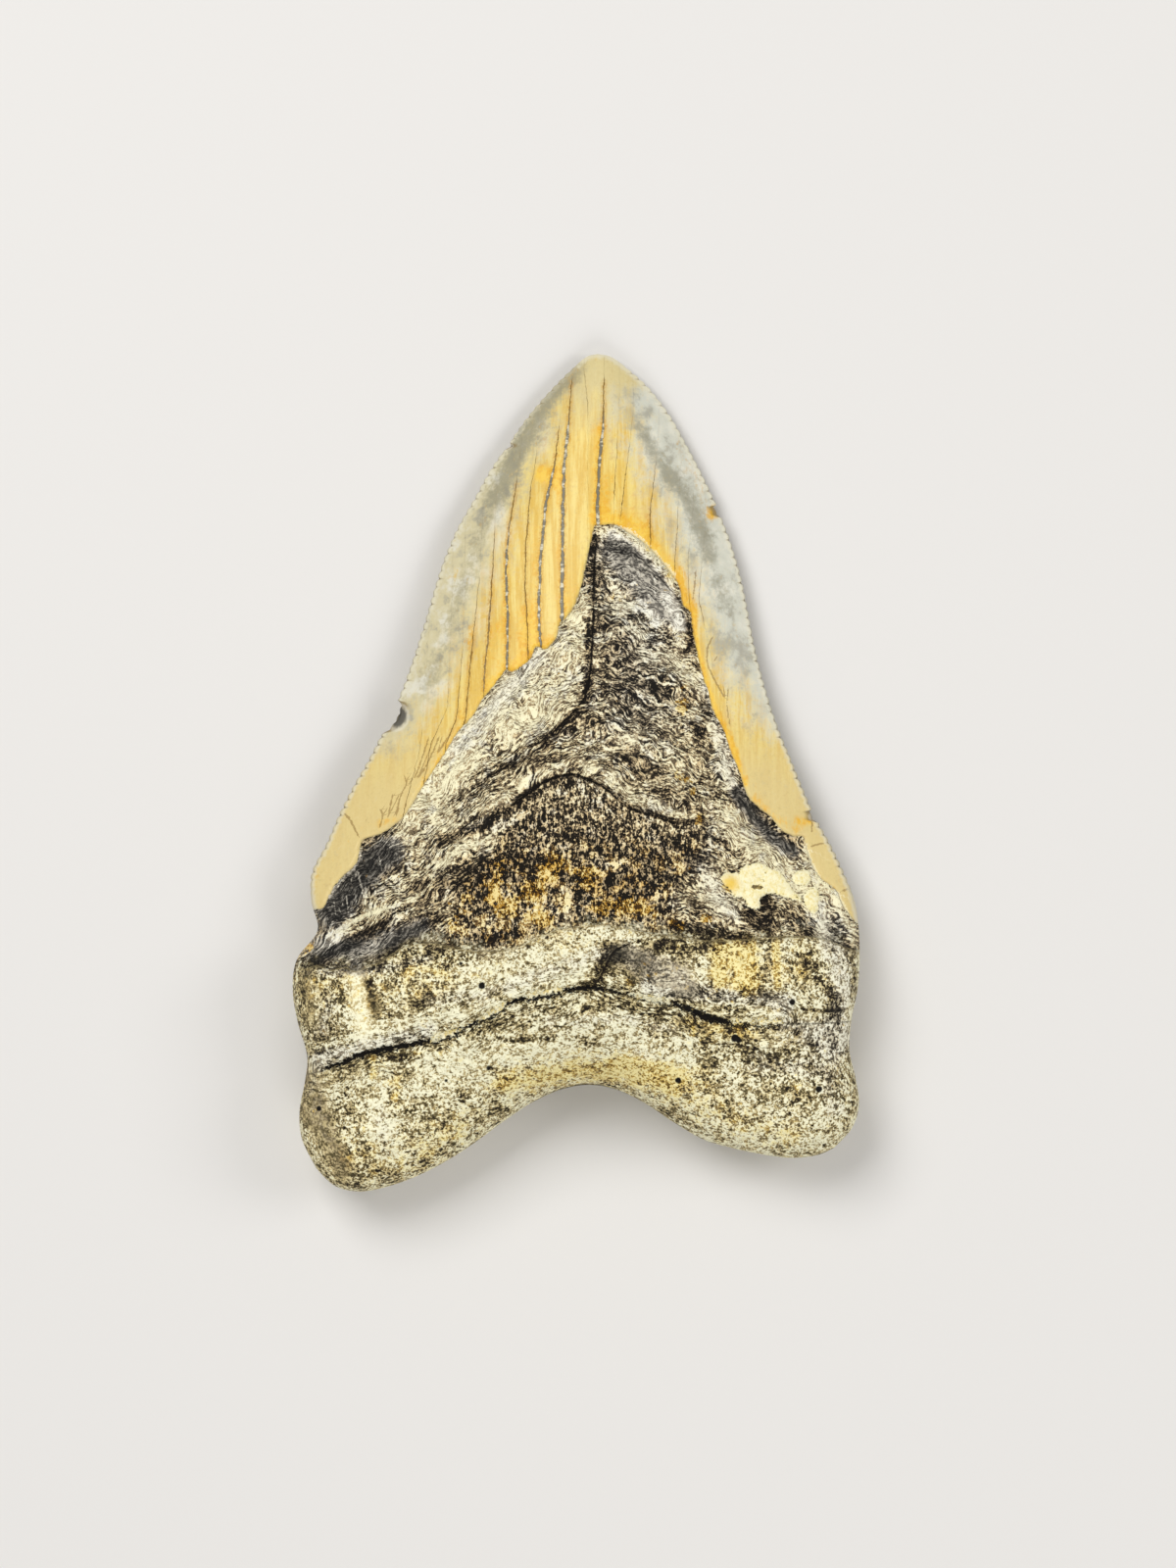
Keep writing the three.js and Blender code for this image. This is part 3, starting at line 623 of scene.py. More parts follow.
def spline(points, t):
    """Catmull-Rom curve through evenly timed points: at each point its slope is half the step between the
    neighbours, and the end points count twice."""
    points = np.asarray(points, float)
    last = len(points) - 1
    place = np.clip(t, 0, 1) * last
    i = np.minimum(place.astype(int), last - 1)
    w = (place - i)[..., None]
    before, start = points[np.maximum(i - 1, 0)], points[i]
    end, after = points[i + 1], points[np.minimum(i + 2, last)]
    leave, arrive = (end - before) / 2, (after - start) / 2
    cubic = 2 * (start - end) + leave + arrive
    square = 3 * (end - start) - 2 * leave - arrive
    return ((cubic * w + square) * w + leave) * w + start


def smooth(x, low, high):
    """Smoothstep: 0 below low, 1 above high, and 3t^2 - 2t^3 between."""
    t = np.clip((x - low) / (high - low), 0, 1)
    return t * t * (3 - 2 * t)


def traced(points):
    """Photograph pixels as millimetres on the tooth."""
    points = np.asarray(points, float)
    return (points - PIXEL_MIDDLE) * (PIXEL, -PIXEL)


def drawn(points):
    """A traced spline, as a polyline with a few points between each pair."""
    count = (len(points) - 1) * LINE_FINENESS + 1
    return spline(traced(points), np.linspace(0, 1, count))


def nearest(x, y, line):
    """Distance from each point to a polyline, signed positive on its left, and how far along the line the
    nearest point is, 0 to 1: the least over its segments of the distance to the segment's nearest point."""
    line = np.asarray(line, float)
    lengths = np.hypot(*np.diff(line, axis=0).T)
    runs = np.concatenate([[0], np.cumsum(lengths)]) / lengths.sum()
    best = np.full(x.shape, np.inf)
    sign, along = np.ones(x.shape), np.zeros(x.shape)
    for (ax, ay), (bx, by), start, end in zip(line[:-1], line[1:], runs[:-1], runs[1:]):
        dx, dy = bx - ax, by - ay
        t = np.clip(((x - ax) * dx + (y - ay) * dy) / (dx * dx + dy * dy), 0, 1)
        ox, oy = x - ax - t * dx, y - ay - t * dy
        distance = np.hypot(ox, oy)
        nearer = distance < best
        best = np.where(nearer, distance, best)
        sign = np.where(nearer, np.sign(dx * oy - dy * ox), sign)
        along = np.where(nearer, start + t * (end - start), along)
    return best * sign, along


def from_line(x, y, line):
    """The signed distance alone."""
    return nearest(x, y, line)[0]


def within(x, y, loop):
    """True where a point lies inside a closed polygon: a ray to the right crosses its sides an odd number
    of times."""
    inside = np.zeros(x.shape, bool)
    for (ax, ay), (bx, by) in zip(loop, np.roll(loop, -1, axis=0)):
        if ay == by:
            continue
        crosses = (ay > y) != (by > y)
        inside ^= crosses & (x < ax + (y - ay) / (by - ay) * (bx - ax))
    return inside


def inside_loop(x, y, points):
    """Distance inside a traced outline, negative outside it."""
    loop = traced(points)
    distance = np.abs(from_line(x, y, np.concatenate([loop, loop[:1]])))
    return np.where(within(x, y, loop), distance, -distance)


def spots(x, y, places):
    """Sum of soft elliptical spots, each a bell curve of the given half-sizes and amount."""
    total = np.zeros(x.shape)
    for px, py, wide, high, amount in places:
        cx, cy = traced((px, py))
        total += amount * np.exp(-((x - cx) / (wide * PIXEL)) ** 2 - ((y - cy) / (high * PIXEL)) ** 2)
    return total


def strokes(x, y, places):
    """Sum of soft strokes, each a bell curve of the distance from its line."""
    total = np.zeros(x.shape)
    for points, half, amount in places:
        total += amount * np.exp(-(from_line(x, y, traced(points)) / (half * PIXEL)) ** 2)
    return total


def fine_lines(x, y):
    """Signed distance to the nearest fine line, its half-width, which narrows to less than nothing at both
    ends, and its amount."""
    off, half, amount = np.full(x.shape, FAR), np.full(x.shape, SHUT), np.zeros(x.shape)
    for points, wide, strength in FINE_LINES:
        away, along = nearest(x, y, drawn(points))
        closer = np.abs(away) < np.abs(off)
        ends = np.clip(np.minimum(along, 1 - along) / LINE_ENDS, 0, 1)
        off = np.where(closer, away, off)
        half = np.where(closer, wide * PIXEL * ends + SHUT * (1 - ends), half)
        amount = np.where(closer, strength, amount)
    return off, half, amount


def ledges(x, y):
    """Signed distance to the nearest broken ledge, how fully it stands there, which fades to nothing at its
    ends, and how far the surface has dropped on its left: a step that is made up again over a distance."""
    nearest_off, nearest_ends = np.full(x.shape, FAR), np.zeros(x.shape)
    drop = np.zeros(x.shape)
    for points, step, fade in LEDGES:
        off, along = nearest(x, y, drawn(points))
        ends = smooth(np.minimum(along, 1 - along), 0.0, LEDGE_ENDS)
        drop += step * ends * smooth(off, *LEDGE_STEP) * (1 - np.clip(np.abs(off) / fade, 0, 1))
        closer = np.abs(off) < np.abs(nearest_off)
        nearest_off = np.where(closer, off, nearest_off)
        nearest_ends = np.where(closer, ends, nearest_ends)
    return nearest_off, nearest_ends, drop


def grey_zone(x, y):
    """Distance into the grey enamel from the cream's edge, less towards the tip and the root."""
    off = np.maximum(from_line(x, y, drawn(GREY_LEFT)), from_line(x, y, drawn(GREY_RIGHT)))
    stands = (1 - smooth(y, *GREY_END)) * smooth(y, *GREY_START)
    return off * stands - GREY_OFF * (1 - stands)


def ripple(x, y, size, seed, waves=24):
    """Smooth random relief of about unit height: a sum of plane waves of about the given wavelength, with
    directions and phases drawn from a seeded generator."""
    draw = np.random.default_rng(seed)
    total = np.zeros(x.shape)
    for _ in range(waves):
        angle, phase, stretch = draw.uniform(0, math.tau), draw.uniform(0, math.tau), draw.uniform(0.7, 1.5)
        turn = math.tau / (size * stretch)
        total += np.sin(turn * (x * math.cos(angle) + y * math.sin(angle)) + phase)
    return total / math.sqrt(waves)


def ripples(x, y, layers):
    """Sum of ripples, each with its height."""
    return sum(height * ripple(x, y, size, seed) for height, size, seed in layers)


def rim_height(y):
    """Height of the outline: the tip's, plus a gain that grows as a power of the way to the root."""
    return RIM["tip"] + RIM["gain"] * np.clip((RIM["start"] - y) / RIM["length"], 0, 1) ** RIM["power"]


def crown_bulge(u, half_width, share, slack, power):
    """A lens across the crown: a share of the half-width, less as it widens, times 1 - |u|^power."""
    return share * half_width / (1 + (half_width / slack) ** 2) * (1 - np.abs(u) ** power)


def root_bulge(x, y, inside, rise, swell, middle, spread, round_):
    """The root's thickness: a quarter-round rim as a function of the distance inside the outline, times an
    even rise with a bell-shaped swelling in the middle."""
    bell = np.exp(-((x - middle[0]) / spread[0]) ** 2 - ((y - middle[1]) / spread[1]) ** 2)
    rim = np.sqrt(1 - (1 - np.minimum(inside / round_, 1)) ** 2)
    return (rise + swell * bell) * rim


class ToothShape:
    """The tooth's two faces on a grid: u runs -1 to 1 across, v 0 to 1 from the root's arch to the tip."""

    def __init__(self, rows, columns):
        v = np.linspace(0, 1, rows + 1)[:, None]
        u = np.linspace(-1, 1, columns + 1)[None, :]
        self.u, self.v = np.broadcast_arrays(u, v)
        self.left, self.right = spline(STATIONS[:, :2], v[:, 0]), spline(STATIONS[:, 2:], v[:, 0])
        self.place()
        self.measure()

    def place(self):
        """Plan position: straight across from the left edge to the right one, plus the root arch's bow from
        its chord, which fades out as a square over the lowest stations."""
        across = (self.u + 1) / 2
        left, right = self.left[:, None, :], self.right[:, None, :]
        plan = left + across[..., None] * (right - left)
        chord = STATIONS[0, :2] + across[..., None] * (STATIONS[0, 2:] - STATIONS[0, :2])
        bowing = np.maximum(0, 1 - self.v / ARCH_REACH) ** 2
        plan = plan + bowing[..., None] * (spline(ROOT_ARCH, across) - chord)
        self.x, self.y = plan[..., 0], plan[..., 1]
        self.half_width = np.broadcast_to((right - left)[..., 0] / 2, self.x.shape)

    def measure(self):
        """Distance inside the outline, which is nothing on the rim itself."""
        fine = np.linspace(0, 1, OUTLINE_FINENESS)
        outline = np.concatenate([
            spline(STATIONS[:, :2], fine)[::-1], spline(ROOT_ARCH, fine), spline(STATIONS[:, 2:], fine)])
        self.inside = np.abs(from_line(self.x, self.y, outline))
        self.inside[:, [0, -1]] = 0
        self.inside[0] = 0

    def clear(self, margin):
        """Nothing on the outline, rising evenly to 1 at a margin inside it."""
        return np.clip(self.inside / margin, 0, 1)

    def edge_run(self):
        """Length along the nearer cutting edge, row by row."""
        def run(edge):
            return np.concatenate([[0], np.cumsum(np.hypot(*np.diff(edge, axis=0).T))])
        return np.where(self.u < 0, run(self.left)[:, None], run(self.right)[:, None])

    def face(self, upper):
        """Height of one face: the rim plus or minus the crown's lens, which turns into the root's bulge at
        the neck."""
        root = 1 - smooth(self.y, NECK_ROOT, NECK_CROWN)
        crown = crown_bulge(self.u, self.half_width, **(CROWN_TOP if upper else CROWN_UNDER))
        base = root_bulge(self.x, self.y, self.inside, **(ROOT_TOP if upper else ROOT_UNDER))
        bulge = crown + root * (base - crown)
        return rim_height(self.y) + (bulge if upper else -bulge)


def crack_phase(x, y):
    """A number that passes a whole value at each long enamel crack and grows evenly between them, with the
    half-width of the nearest crack and the gap that one unit stands for."""
    at, width = [], []
    for points, top, bottom, half in ENAMEL_CRACKS:
        line = traced(points)[::-1]
        at.append(np.interp(y, line[:, 1], line[:, 0]))
        high, low = traced((0, top))[1], traced((0, bottom))[1]
        taper = CRACK_THIN + (1 - CRACK_THIN) * (1 - smooth(y - high, *CRACK_TAPER))
        width.append(half * taper * smooth(y - low, *CRACK_FOOT) * (1 - smooth(y - high, *CRACK_HEAD)))
    at = np.maximum.accumulate(np.array(at) + CRACK_APART * np.arange(len(at))[:, None, None], axis=0)
    width = np.array(width)
    steps = np.diff(at, axis=0)
    phase = np.full(x.shape, -0.5)
    gap = np.ones(x.shape)
    for i, step in enumerate(steps):
        between = (x >= at[i]) & (x < at[i + 1])
        phase = np.where(between, i + (x - at[i]) / step, phase)
        gap = np.where(between, step, gap)
    phase = np.where(x >= at[-1], len(at) - 1 + np.minimum(x - at[-1], 0.5), phase)
    phase = np.where(x < at[0], np.maximum(x - at[0], -0.5), phase)
    closest = np.clip(np.rint(phase), 0, len(at) - 1).astype(int)
    half = np.take_along_axis(width, closest[None], axis=0)[0]
    return phase, half, np.maximum(gap, CRACK_GAP)


def along_crack(x, places):
    """A value of the long root crack at each x, straight between the given places."""
    at, value = np.array(places, float).T
    return np.interp(x, (at - PIXEL_MIDDLE[0]) * PIXEL, value)


def core_leaves(x, y):
    """A number that grows by one with each flaked leaf of the bare core: the leaves lie in chevrons about
    the crown's middle line, steeper on the left, and waver."""
    off = x - CHEVRON["middle"]
    level = y + CHEVRON["slope"] * np.sqrt(off * off + CHEVRON["blunt"]) - CHEVRON["lean"] * off
    return level / CORE_LEAF + ripples(x, y, CORE_WAVER)


def root_leaves(x, y, seam):
    """A number that grows by one with each leaf of the root: the leaves follow the long crack and waver."""
    return seam / ROOT_LEAF + ripples(x, y, ROOT_WAVER)


def chip_marks(x, y):
    """How far into a chip each point lies: the chip's darkness at its middle, falling evenly to nothing at
    its radius."""
    deepest = np.zeros(x.shape)
    for px, py, radius, _, dark in CHIPS:
        cx, cy = traced((px, py))
        deepest = np.maximum(deepest, dark * np.clip(1 - np.hypot(x - cx, y - cy) / radius, 0, 1))
    return deepest


def upper_marks(shape):
    """Everything drawn on the tongue-side face, as named fields over the grid, and the drop below its
    ledges."""
    x, y = shape.x, shape.y
    edge, collar = drawn(ENAMEL_EDGE), drawn(ROOT_COLLAR)
    bare_loop = np.concatenate([edge, collar])
    near = np.minimum(np.abs(from_line(x, y, edge)), np.abs(from_line(x, y, collar)))
    ledge, ledge_ends, drop = ledges(x, y)
    seam = from_line(x, y, drawn(ROOT_CRACK))
    root = from_line(x, y, collar)
    line, line_half, line_tone = fine_lines(x, y)
    crack, crack_half, crack_gap = crack_phase(x, y)
    marks = {
        "bare": np.where(within(x, y, bare_loop), near, -near),
        "root": root,
        "ledge": ledge,
        "ledge_ends": ledge_ends,
        "seam": seam,
        "seam_open": along_crack(x, CRACK_OPEN) * PIXEL,
        "seam_fill": along_crack(x, CRACK_FILL),
        "leaf": np.where(root > 0, root_leaves(x, y, seam), core_leaves(x, y)),
        "tone": strokes(x, y, CORE_SHADE + ROOT_SHADE),
        "stain": spots(x, y, STAIN_SPOTS),
        "grey": grey_zone(x, y),
        "calm": strokes(x, y, CALM),
        "cool": strokes(x, y, COOL),
        "warm": strokes(x, y, WARM),
        "dim": strokes(x, y, DARK_GREY_AND_SHADE),
        "orange": strokes(x, y, ORANGE),
        "crust": np.max([inside_loop(x, y, loop) for loop in CRUST], axis=0),
        "fibre": inside_loop(x, y, FIBRE_ZONE),
        "line": line,
        "line_half": line_half,
        "line_tone": line_tone,
        "crack": crack,
        "crack_half": crack_half,
        "crack_gap": crack_gap,
        "chip": chip_marks(x, y),
        "notch": serration(shape),
        "inside": shape.inside,
    }
    return marks, drop


def upper_relief(shape, marks, drop):
    """Height that breaks and wear add to the tongue-side face: the lost enamel's step, the broken ledges,
    flaked leaves as a saw-tooth of the leaf number, the root's crack, the crust, and a rough grain."""
    bare = smooth(marks["bare"], -CORE_TURN, CORE_TURN) * shape.clear(STEP_MARGIN)
    root = smooth(marks["root"], -ROOT_TURN, ROOT_TURN)
    worn = np.clip(bare + root, 0, 1)
    relief = -ENAMEL_THICKNESS * bare - drop * worn
    near_crack = np.exp(-(marks["seam"] / ROOT_LEAF_REACH) ** 2)
    saw = marks["leaf"] - np.floor(marks["leaf"]) - 0.5
    relief += saw * (CORE_LEAF_HEIGHT * bare * (1 - root) + ROOT_LEAF_HEIGHT * root * near_crack)
    relief += SHADE_HEIGHT * marks["tone"] * worn
    groove = np.exp(-(marks["seam"] / ROOT_CRACK_HALF) ** 2) * (marks["seam_open"] > 0)
    relief -= ROOT_CRACK_DEPTH * groove * (1 - GRIT_SHARE * marks["seam_fill"])
    relief += worn * ripples(shape.x, shape.y, GRAIN) * shape.clear(GRAIN_MARGIN)
    relief += CRUST_HEIGHT * smooth(marks["crust"], *CRUST_SLOPE)
    relief -= CHIP_DEPTH * marks["chip"]
    return relief


def tooth_arrays():
    """Vertices, faces and named fields of the whole tooth. The lower face has every second column, and its
    first strip of triangles joins them to the root arch's full row."""
    top = ToothShape(ROWS, COLUMNS)
    marks, drop = upper_marks(top)
    relief = upper_relief(top, marks, drop)
    height = top.face(True) + relief * top.clear(RELIEF_MARGIN)
    under = ToothShape(ROWS, COLUMNS // 2)
    upper_x = top.x - marks["notch"] * np.sign(top.u)
    under_x = under.x - serration(under) * np.sign(under.u)
    upper = np.stack([upper_x, top.y, np.maximum(height, 0)], axis=-1)
    lower = np.stack([under_x, under.y, under_height(under)], axis=-1)
    return weave(upper, lower), fields(under, marks)


def serration(shape):
    """How far the cutting edge is pulled in: rounded teeth between notches at even spacing along the edge,
    and chips, both fading inwards over about a millimetre."""
    run = shape.edge_run()
    wave = np.abs(np.sin(np.pi * run / SERRATION_PITCH)) ** SERRATION_POWER
    crown = smooth(shape.y, *SERRATION_START) * (1 - smooth(shape.y, *SERRATION_END))
    pull = SERRATION_DEPTH * (1 - wave) * crown
    for px, py, radius, depth, _ in CHIPS:
        cx, cy = traced((px, py))
        side = np.sign(shape.u) == np.sign(cx)
        pull = pull + side * depth * np.clip(1 - ((shape.y - cy) / radius) ** 2, 0, 1) ** 0.5
    return pull * np.exp(-shape.inside / SERRATION_FADE) * (np.abs(shape.u) > SERRATION_CLEAR)


def lip_neck(x):
    """Where along y the enamel ends on the lip side: a low arch that wavers."""
    arch = LIP_NECK["arch"] * np.exp(-(x / LIP_NECK["spread"]) ** 2)
    return LIP_NECK["level"] + arch + LIP_NECK["waver"] * np.sin(x * LIP_NECK["turn"])


def under_height(shape):
    """Lip-side face: smooth enamel, a small step at the neck and a rough root, worn flat on the ground."""
    root = smooth(lip_neck(shape.x) - shape.y, -LIP_TURN, LIP_TURN)
    rough = ripples(shape.x, shape.y, LIP_GRAIN) * root * shape.clear(GRAIN_MARGIN)
    return np.maximum(0, shape.face(False) + LIP_STEP * root * shape.clear(STEP_MARGIN) + rough)


def weave(upper, lower):
    """Vertices and faces of the closed tooth from its two grids, which share the rim and end in one tip."""
    rows, columns, half = ROWS, COLUMNS, COLUMNS // 2
    tip = rows * (columns + 1)
    top = np.arange(rows * (columns + 1)).reshape(rows, columns + 1)
    inner = tip + 1 + np.arange((rows - 1) * (half - 1)).reshape(rows - 1, half - 1)
    under = np.concatenate([top[1:, :1], inner, top[1:, -1:]], axis=1)
    vertices = np.concatenate([
        upper[:rows].reshape(-1, 3), upper[rows, :1], lower[1:rows, 1:-1].reshape(-1, 3)])
    quads = [
        np.stack([top[:-1, :-1], top[:-1, 1:], top[1:, 1:], top[1:, :-1]], axis=-1).reshape(-1, 4),
        np.stack([under[:-1, :-1], under[1:, :-1], under[1:, 1:], under[:-1, 1:]], axis=-1).reshape(-1, 4),
    ]
    tips = np.full(columns, tip), np.full(half, tip)
    left, middle, right = top[0, :-2:2], top[0, 1:-1:2], top[0, 2::2]
    triangles = [
        np.stack([top[-1, :-1], top[-1, 1:], tips[0]], axis=-1),
        np.stack([under[-1, 1:], under[-1, :-1], tips[1]], axis=-1),
        np.stack([left, under[0, :-1], middle], axis=-1),
        np.stack([middle, under[0, :-1], under[0, 1:]], axis=-1),
        np.stack([middle, under[0, 1:], right], axis=-1),
    ]
    faces = np.concatenate(quads).tolist() + np.concatenate(triangles).tolist()
    return vertices, faces


def fields(under, marks):
    """Named fields in the order of the woven vertices: the upper face's, then plain enamel and root
    below."""
    x, y = under.x, under.y
    below = {name: np.zeros(x.shape) for name in marks}
    for name in ("ledge", "line"):
        below[name] += FAR
    for name in ("bare", "crust", "fibre"):
        below[name] -= FAR
    for name in ("seam_open", "line_half"):
        below[name] += SHUT
    below["root"] = lip_neck(x) - y
    below["seam"] = from_line(x, y, drawn(ROOT_CRACK))
    below["leaf"] = root_leaves(x, y, below["seam"])
    below["tone"] = ripples(x, y, LIP_SHADE)
    below["grey"] = FAR - under.inside
    below["crack"], _, below["crack_gap"] = crack_phase(x, y)
    below["crack_half"] += LIP_CRACK_HALF * smooth(ripples(x, y, LIP_CRACKS), 0.2, 0.9)
    below["inside"], below["notch"] = under.inside, serration(under)
    both = {name: (marks[name], below[name]) for name in marks}
    return {name: np.concatenate([over[:ROWS].ravel(), over[ROWS, :1], low[1:ROWS, 1:-1].ravel()])
            for name, (over, low) in both.items()}


class Wire:
    """A node's output socket that takes part in Python arithmetic. Any other node comes from its node
    method."""

    def __init__(self, tree, socket=None):
        self.tree, self.socket = tree, socket

    def node(self, kind, settings=None, inputs=None, output=0):
        """Adds a node: settings are set first (a ramp's stops as a list), then sockets get values or
        links."""
        made = self.tree.nodes.new(kind)
        for key, value in (settings or {}).items():
            if key == "stops":
                set_stops(made.color_ramp, value)
            else:
                setattr(made, key, value)
        for key, value in (inputs or {}).items():
            if isinstance(value, Wire):
                self.tree.links.new(value.socket, made.inputs[key])
            else:
                made.inputs[key].default_value = value
        return Wire(self.tree, made.outputs[output]) if len(made.outputs) else Wire(self.tree)

    def math(self, operation, *values):
        return self.node("ShaderNodeMath", {"operation": operation}, dict(enumerate(values)))

    def __add__(self, other):
        return self.math("ADD", self, other)

    def __radd__(self, other):
        return self.math("ADD", other, self)

    def __sub__(self, other):
        return self.math("SUBTRACT", self, other)

    def __rsub__(self, other):
        return self.math("SUBTRACT", other, self)

    def __mul__(self, other):
        return self.math("MULTIPLY", self, other)

    def __rmul__(self, other):
        return self.math("MULTIPLY", other, self)

    def __pow__(self, other):
        return self.math("POWER", self, other)

    def __neg__(self):
        return self.math("MULTIPLY", self, -1.0)

    def __abs__(self):
        return self.math("ABSOLUTE", self)

    def swing(self, amount):
        """A level from 0 to 1 as a swing to either side of nothing."""
        return (self - 0.5) * amount

    def rise(self, low, high, start=0.0, end=1.0):
        """Smoothstep from start to end, as the value goes from low to high."""
        settings = {"interpolation_type": "SMOOTHSTEP", "clamp": True}
        return self.node("ShaderNodeMapRange", settings, {0: self, 1: low, 2: high, 3: start, 4: end})

    def clip(self):
        return self.node("ShaderNodeClamp", {}, {0: self})

    def field(self, name):
        """A named field stored on the mesh."""
        return self.node("ShaderNodeAttribute", {"attribute_name": name}, {}, 2)

    def mix(self, factor, a, b):
        """Colour a turning into colour b."""
        return self.node("ShaderNodeMix", {"data_type": "RGBA"}, {0: factor, 6: a, 7: b}, 2)

    def ramp(self, value, stops):
        """Colours by value, from (position, sRGB code) pairs."""
        return self.node("ShaderNodeValToRGB", {"stops": stops}, {0: value})

    def place(self, x, y, z):
        """A place from three numbers."""
        return self.node("ShaderNodeCombineXYZ", {}, {0: x, 1: y, 2: z})

    def noise(self, place, scale, detail, roughness, distortion=0.0):
        """Cloudy noise, with its scale in grains per millimetre."""
        inputs = {"Vector": place, "Scale": scale, "Detail": detail, "Roughness": roughness,
                  "Distortion": distortion}
        return self.node("ShaderNodeTexNoise", {}, inputs)

    def cells(self, place, scale):
        """Random level of each cell."""
        return self.node("ShaderNodeTexVoronoi", {}, {"Vector": place, "Scale": scale}, "Color")


def set_stops(ramp, stops):
    """Gives a colour ramp its stops, as (position, sRGB code) pairs."""
    while len(ramp.elements) < len(stops):
        ramp.elements.new(0.5)
    for element, (position, code) in zip(ramp.elements, stops):
        element.position, element.color = position, shade(code)


# Colours of the marks on the tooth. The broken edge, notch, crack gap and hole colours are painted shade,
# and the rim colour is a painted highlight.
TINTS = {name: shade(code) for name, code in (
    ("warm grey", "#D6CDA8"), ("grey haze", "#A5A499"), ("white haze", "#E6E5D8"),
    ("deep orange", "#EAB234"), ("pale mottle", "#F8E9B8"), ("brown mottle", "#A88C58"),
    ("crack stain", "#C99020"), ("crack dirt", "#7D7765"), ("crack grit", "#DAD3B8"),
    ("hairline", "#94702C"), ("dark line", "#86622A"), ("pale line", "#FBF2CC"),
    ("broken edge", "#77725E"), ("rim", "#E6E1C8"), ("notch", "#8A7444"), ("chip rim", "#F2EFE0"),
    ("chip", "#4C4A44"), ("golden crust", "#F2CA4C"), ("open crack", "#14110D"),
    ("bead", "#F2DC94"), ("bead top", "#FFF8D2"), ("hole shade", "#120F0B"),
)}
# Flecked surfaces, from their darkest level to their palest.
CORE_SHADES = [
    (0.05, "#130E07"), (0.28, "#4B4030"), (0.50, "#968466"), (0.72, "#DFC696"), (0.95, "#FFF7CF")]
ROOT_SHADES = [
    (0.05, "#1C150C"), (0.30, "#5E5436"), (0.52, "#A9976C"), (0.74, "#E0CF9B"), (0.95, "#FFFBD9")]
CRUST_SHADES = [(0.30, "#6B5C3C"), (0.55, "#CDB36C"), (0.75, "#F6E6A2"), (0.95, "#FFF8D0")]
OCHRE_SHADES = [
    (0.05, "#150D04"), (0.28, "#5A3E12"), (0.50, "#B0822E"), (0.72, "#DDB04E"), (0.95, "#F8E29C")]
YELLOW_SHADES = [
    (0.05, "#1D1508"), (0.30, "#665025"), (0.52, "#B69348"), (0.74, "#E9C766"), (0.95, "#FFEFA8")]
GREY_SHADES = [
    (0.05, "#1A1917"), (0.30, "#54514A"), (0.52, "#948E83"), (0.74, "#CDC6B5"), (0.95, "#FBF8E8")]
# The finish: depth of the fine relief in metres, sheen, and roughness of the enamel and of what is bare.
BUMP_DEPTH = 0.0002
SHEEN = 0.2
ENAMEL_ROUGHNESS = 0.36
WORN_ROUGHNESS = 0.80


class Ground:
    """Places in millimetres, fields and noises that the enamel, core and root share."""

    def __init__(self, w):
        self.w = w
        whole = w.node("ShaderNodeTexCoord", {}, {}, "Object")
        self.x, self.y, self.z = (
            w.node("ShaderNodeSeparateXYZ", {}, {0: whole}, axis) * (1 / MM) for axis in range(3))
        self.spot = w.place(self.x, self.y, self.z)
        self.bare, self.root = w.field("bare"), w.field("root")
        self.tone, self.seam, self.leaf = w.field("tone"), w.field("seam"), w.field("leaf")
        self.add_noises()
        self.add_marks()

    def add_noises(self):
        """Grain from the finest specks to broad patches, and thin bright threads of painted highlight."""
        w = self.w
        self.fine = w.noise(self.spot, 1.6, 5.0, 0.65)
        self.clump = w.noise(self.spot, 0.8, 3.0, 0.7)
        sand, gravel = w.noise(self.spot, 2.5, 1.0, 0.8), w.noise(self.spot, 0.95, 2.0, 0.9)
        self.speck = 0.5 + sand.swing(1.7) + gravel.swing(1.3)
        # Painted highlight: thin bright threads standing for glints on the grainy surface.
        self.glint_threads = (1 - abs(w.noise(self.spot, 1.6, 2.0, 0.6, 0.5) - 0.5) * 9.0).clip()
        self.grit = w.cells(self.spot, 3.1)
        self.patch = w.noise(self.spot, 0.33, 3.0, 0.55)
        self.rough = self.patch.rise(0.38, 0.62)

    def add_marks(self):
        """Fine lines, smooth zones, stains, and the saw-tooth of the leaves with its hollow foot, where
        shade is painted; the fine lines and the painted shade under the ledges are summed into one change
        of brightness.
        """
        w = self.w
        line = w.field("line") + self.fine.swing(0.35)
        self.line = (w.field("line_half") * (0.2 + 1.6 * self.speck) - abs(line)).rise(-0.04, 0.05)
        self.line_tone = w.field("line_tone")
        self.calm = (w.field("calm") + self.fine.swing(0.6)).rise(0.2, 0.8)
        self.stain = (w.field("stain") + self.clump.swing(1.6) + self.fine.swing(0.9)).rise(0.34, 0.60)
        leaf = self.leaf + self.fine.swing(0.5)
        self.saw = leaf.math("FRACT", leaf)
        self.foot = 1 - self.saw.rise(0.0, 0.22)
        # The fine lines, some of them painted shadow under the ledges, with the painted shade under the
        # ledges.
        self.lines_and_ledge_shade = self.line * self.line_tone * 0.55 - self.ledge_shade() * 0.5

    def ledge_shade(self):
        """Painted shade: a dark wavering line under each broken ledge."""
        ledge = self.w.field("ledge") + self.fine.swing(0.7)
        broken = self.w.field("ledge_ends") * self.fine.rise(0.25, 0.45)
        return ledge.rise(-0.08, 0.06) * (1 - ledge.rise(0.05, 0.45)) * broken

    def stretched(self, level, across, along, detail, roughness):
        """Noise with its own number of grains per millimetre across x and along another measure."""
        place = self.w.place(self.x * across, level * along, self.z * 0.3)
        return self.w.noise(place, 1.0, detail, roughness)


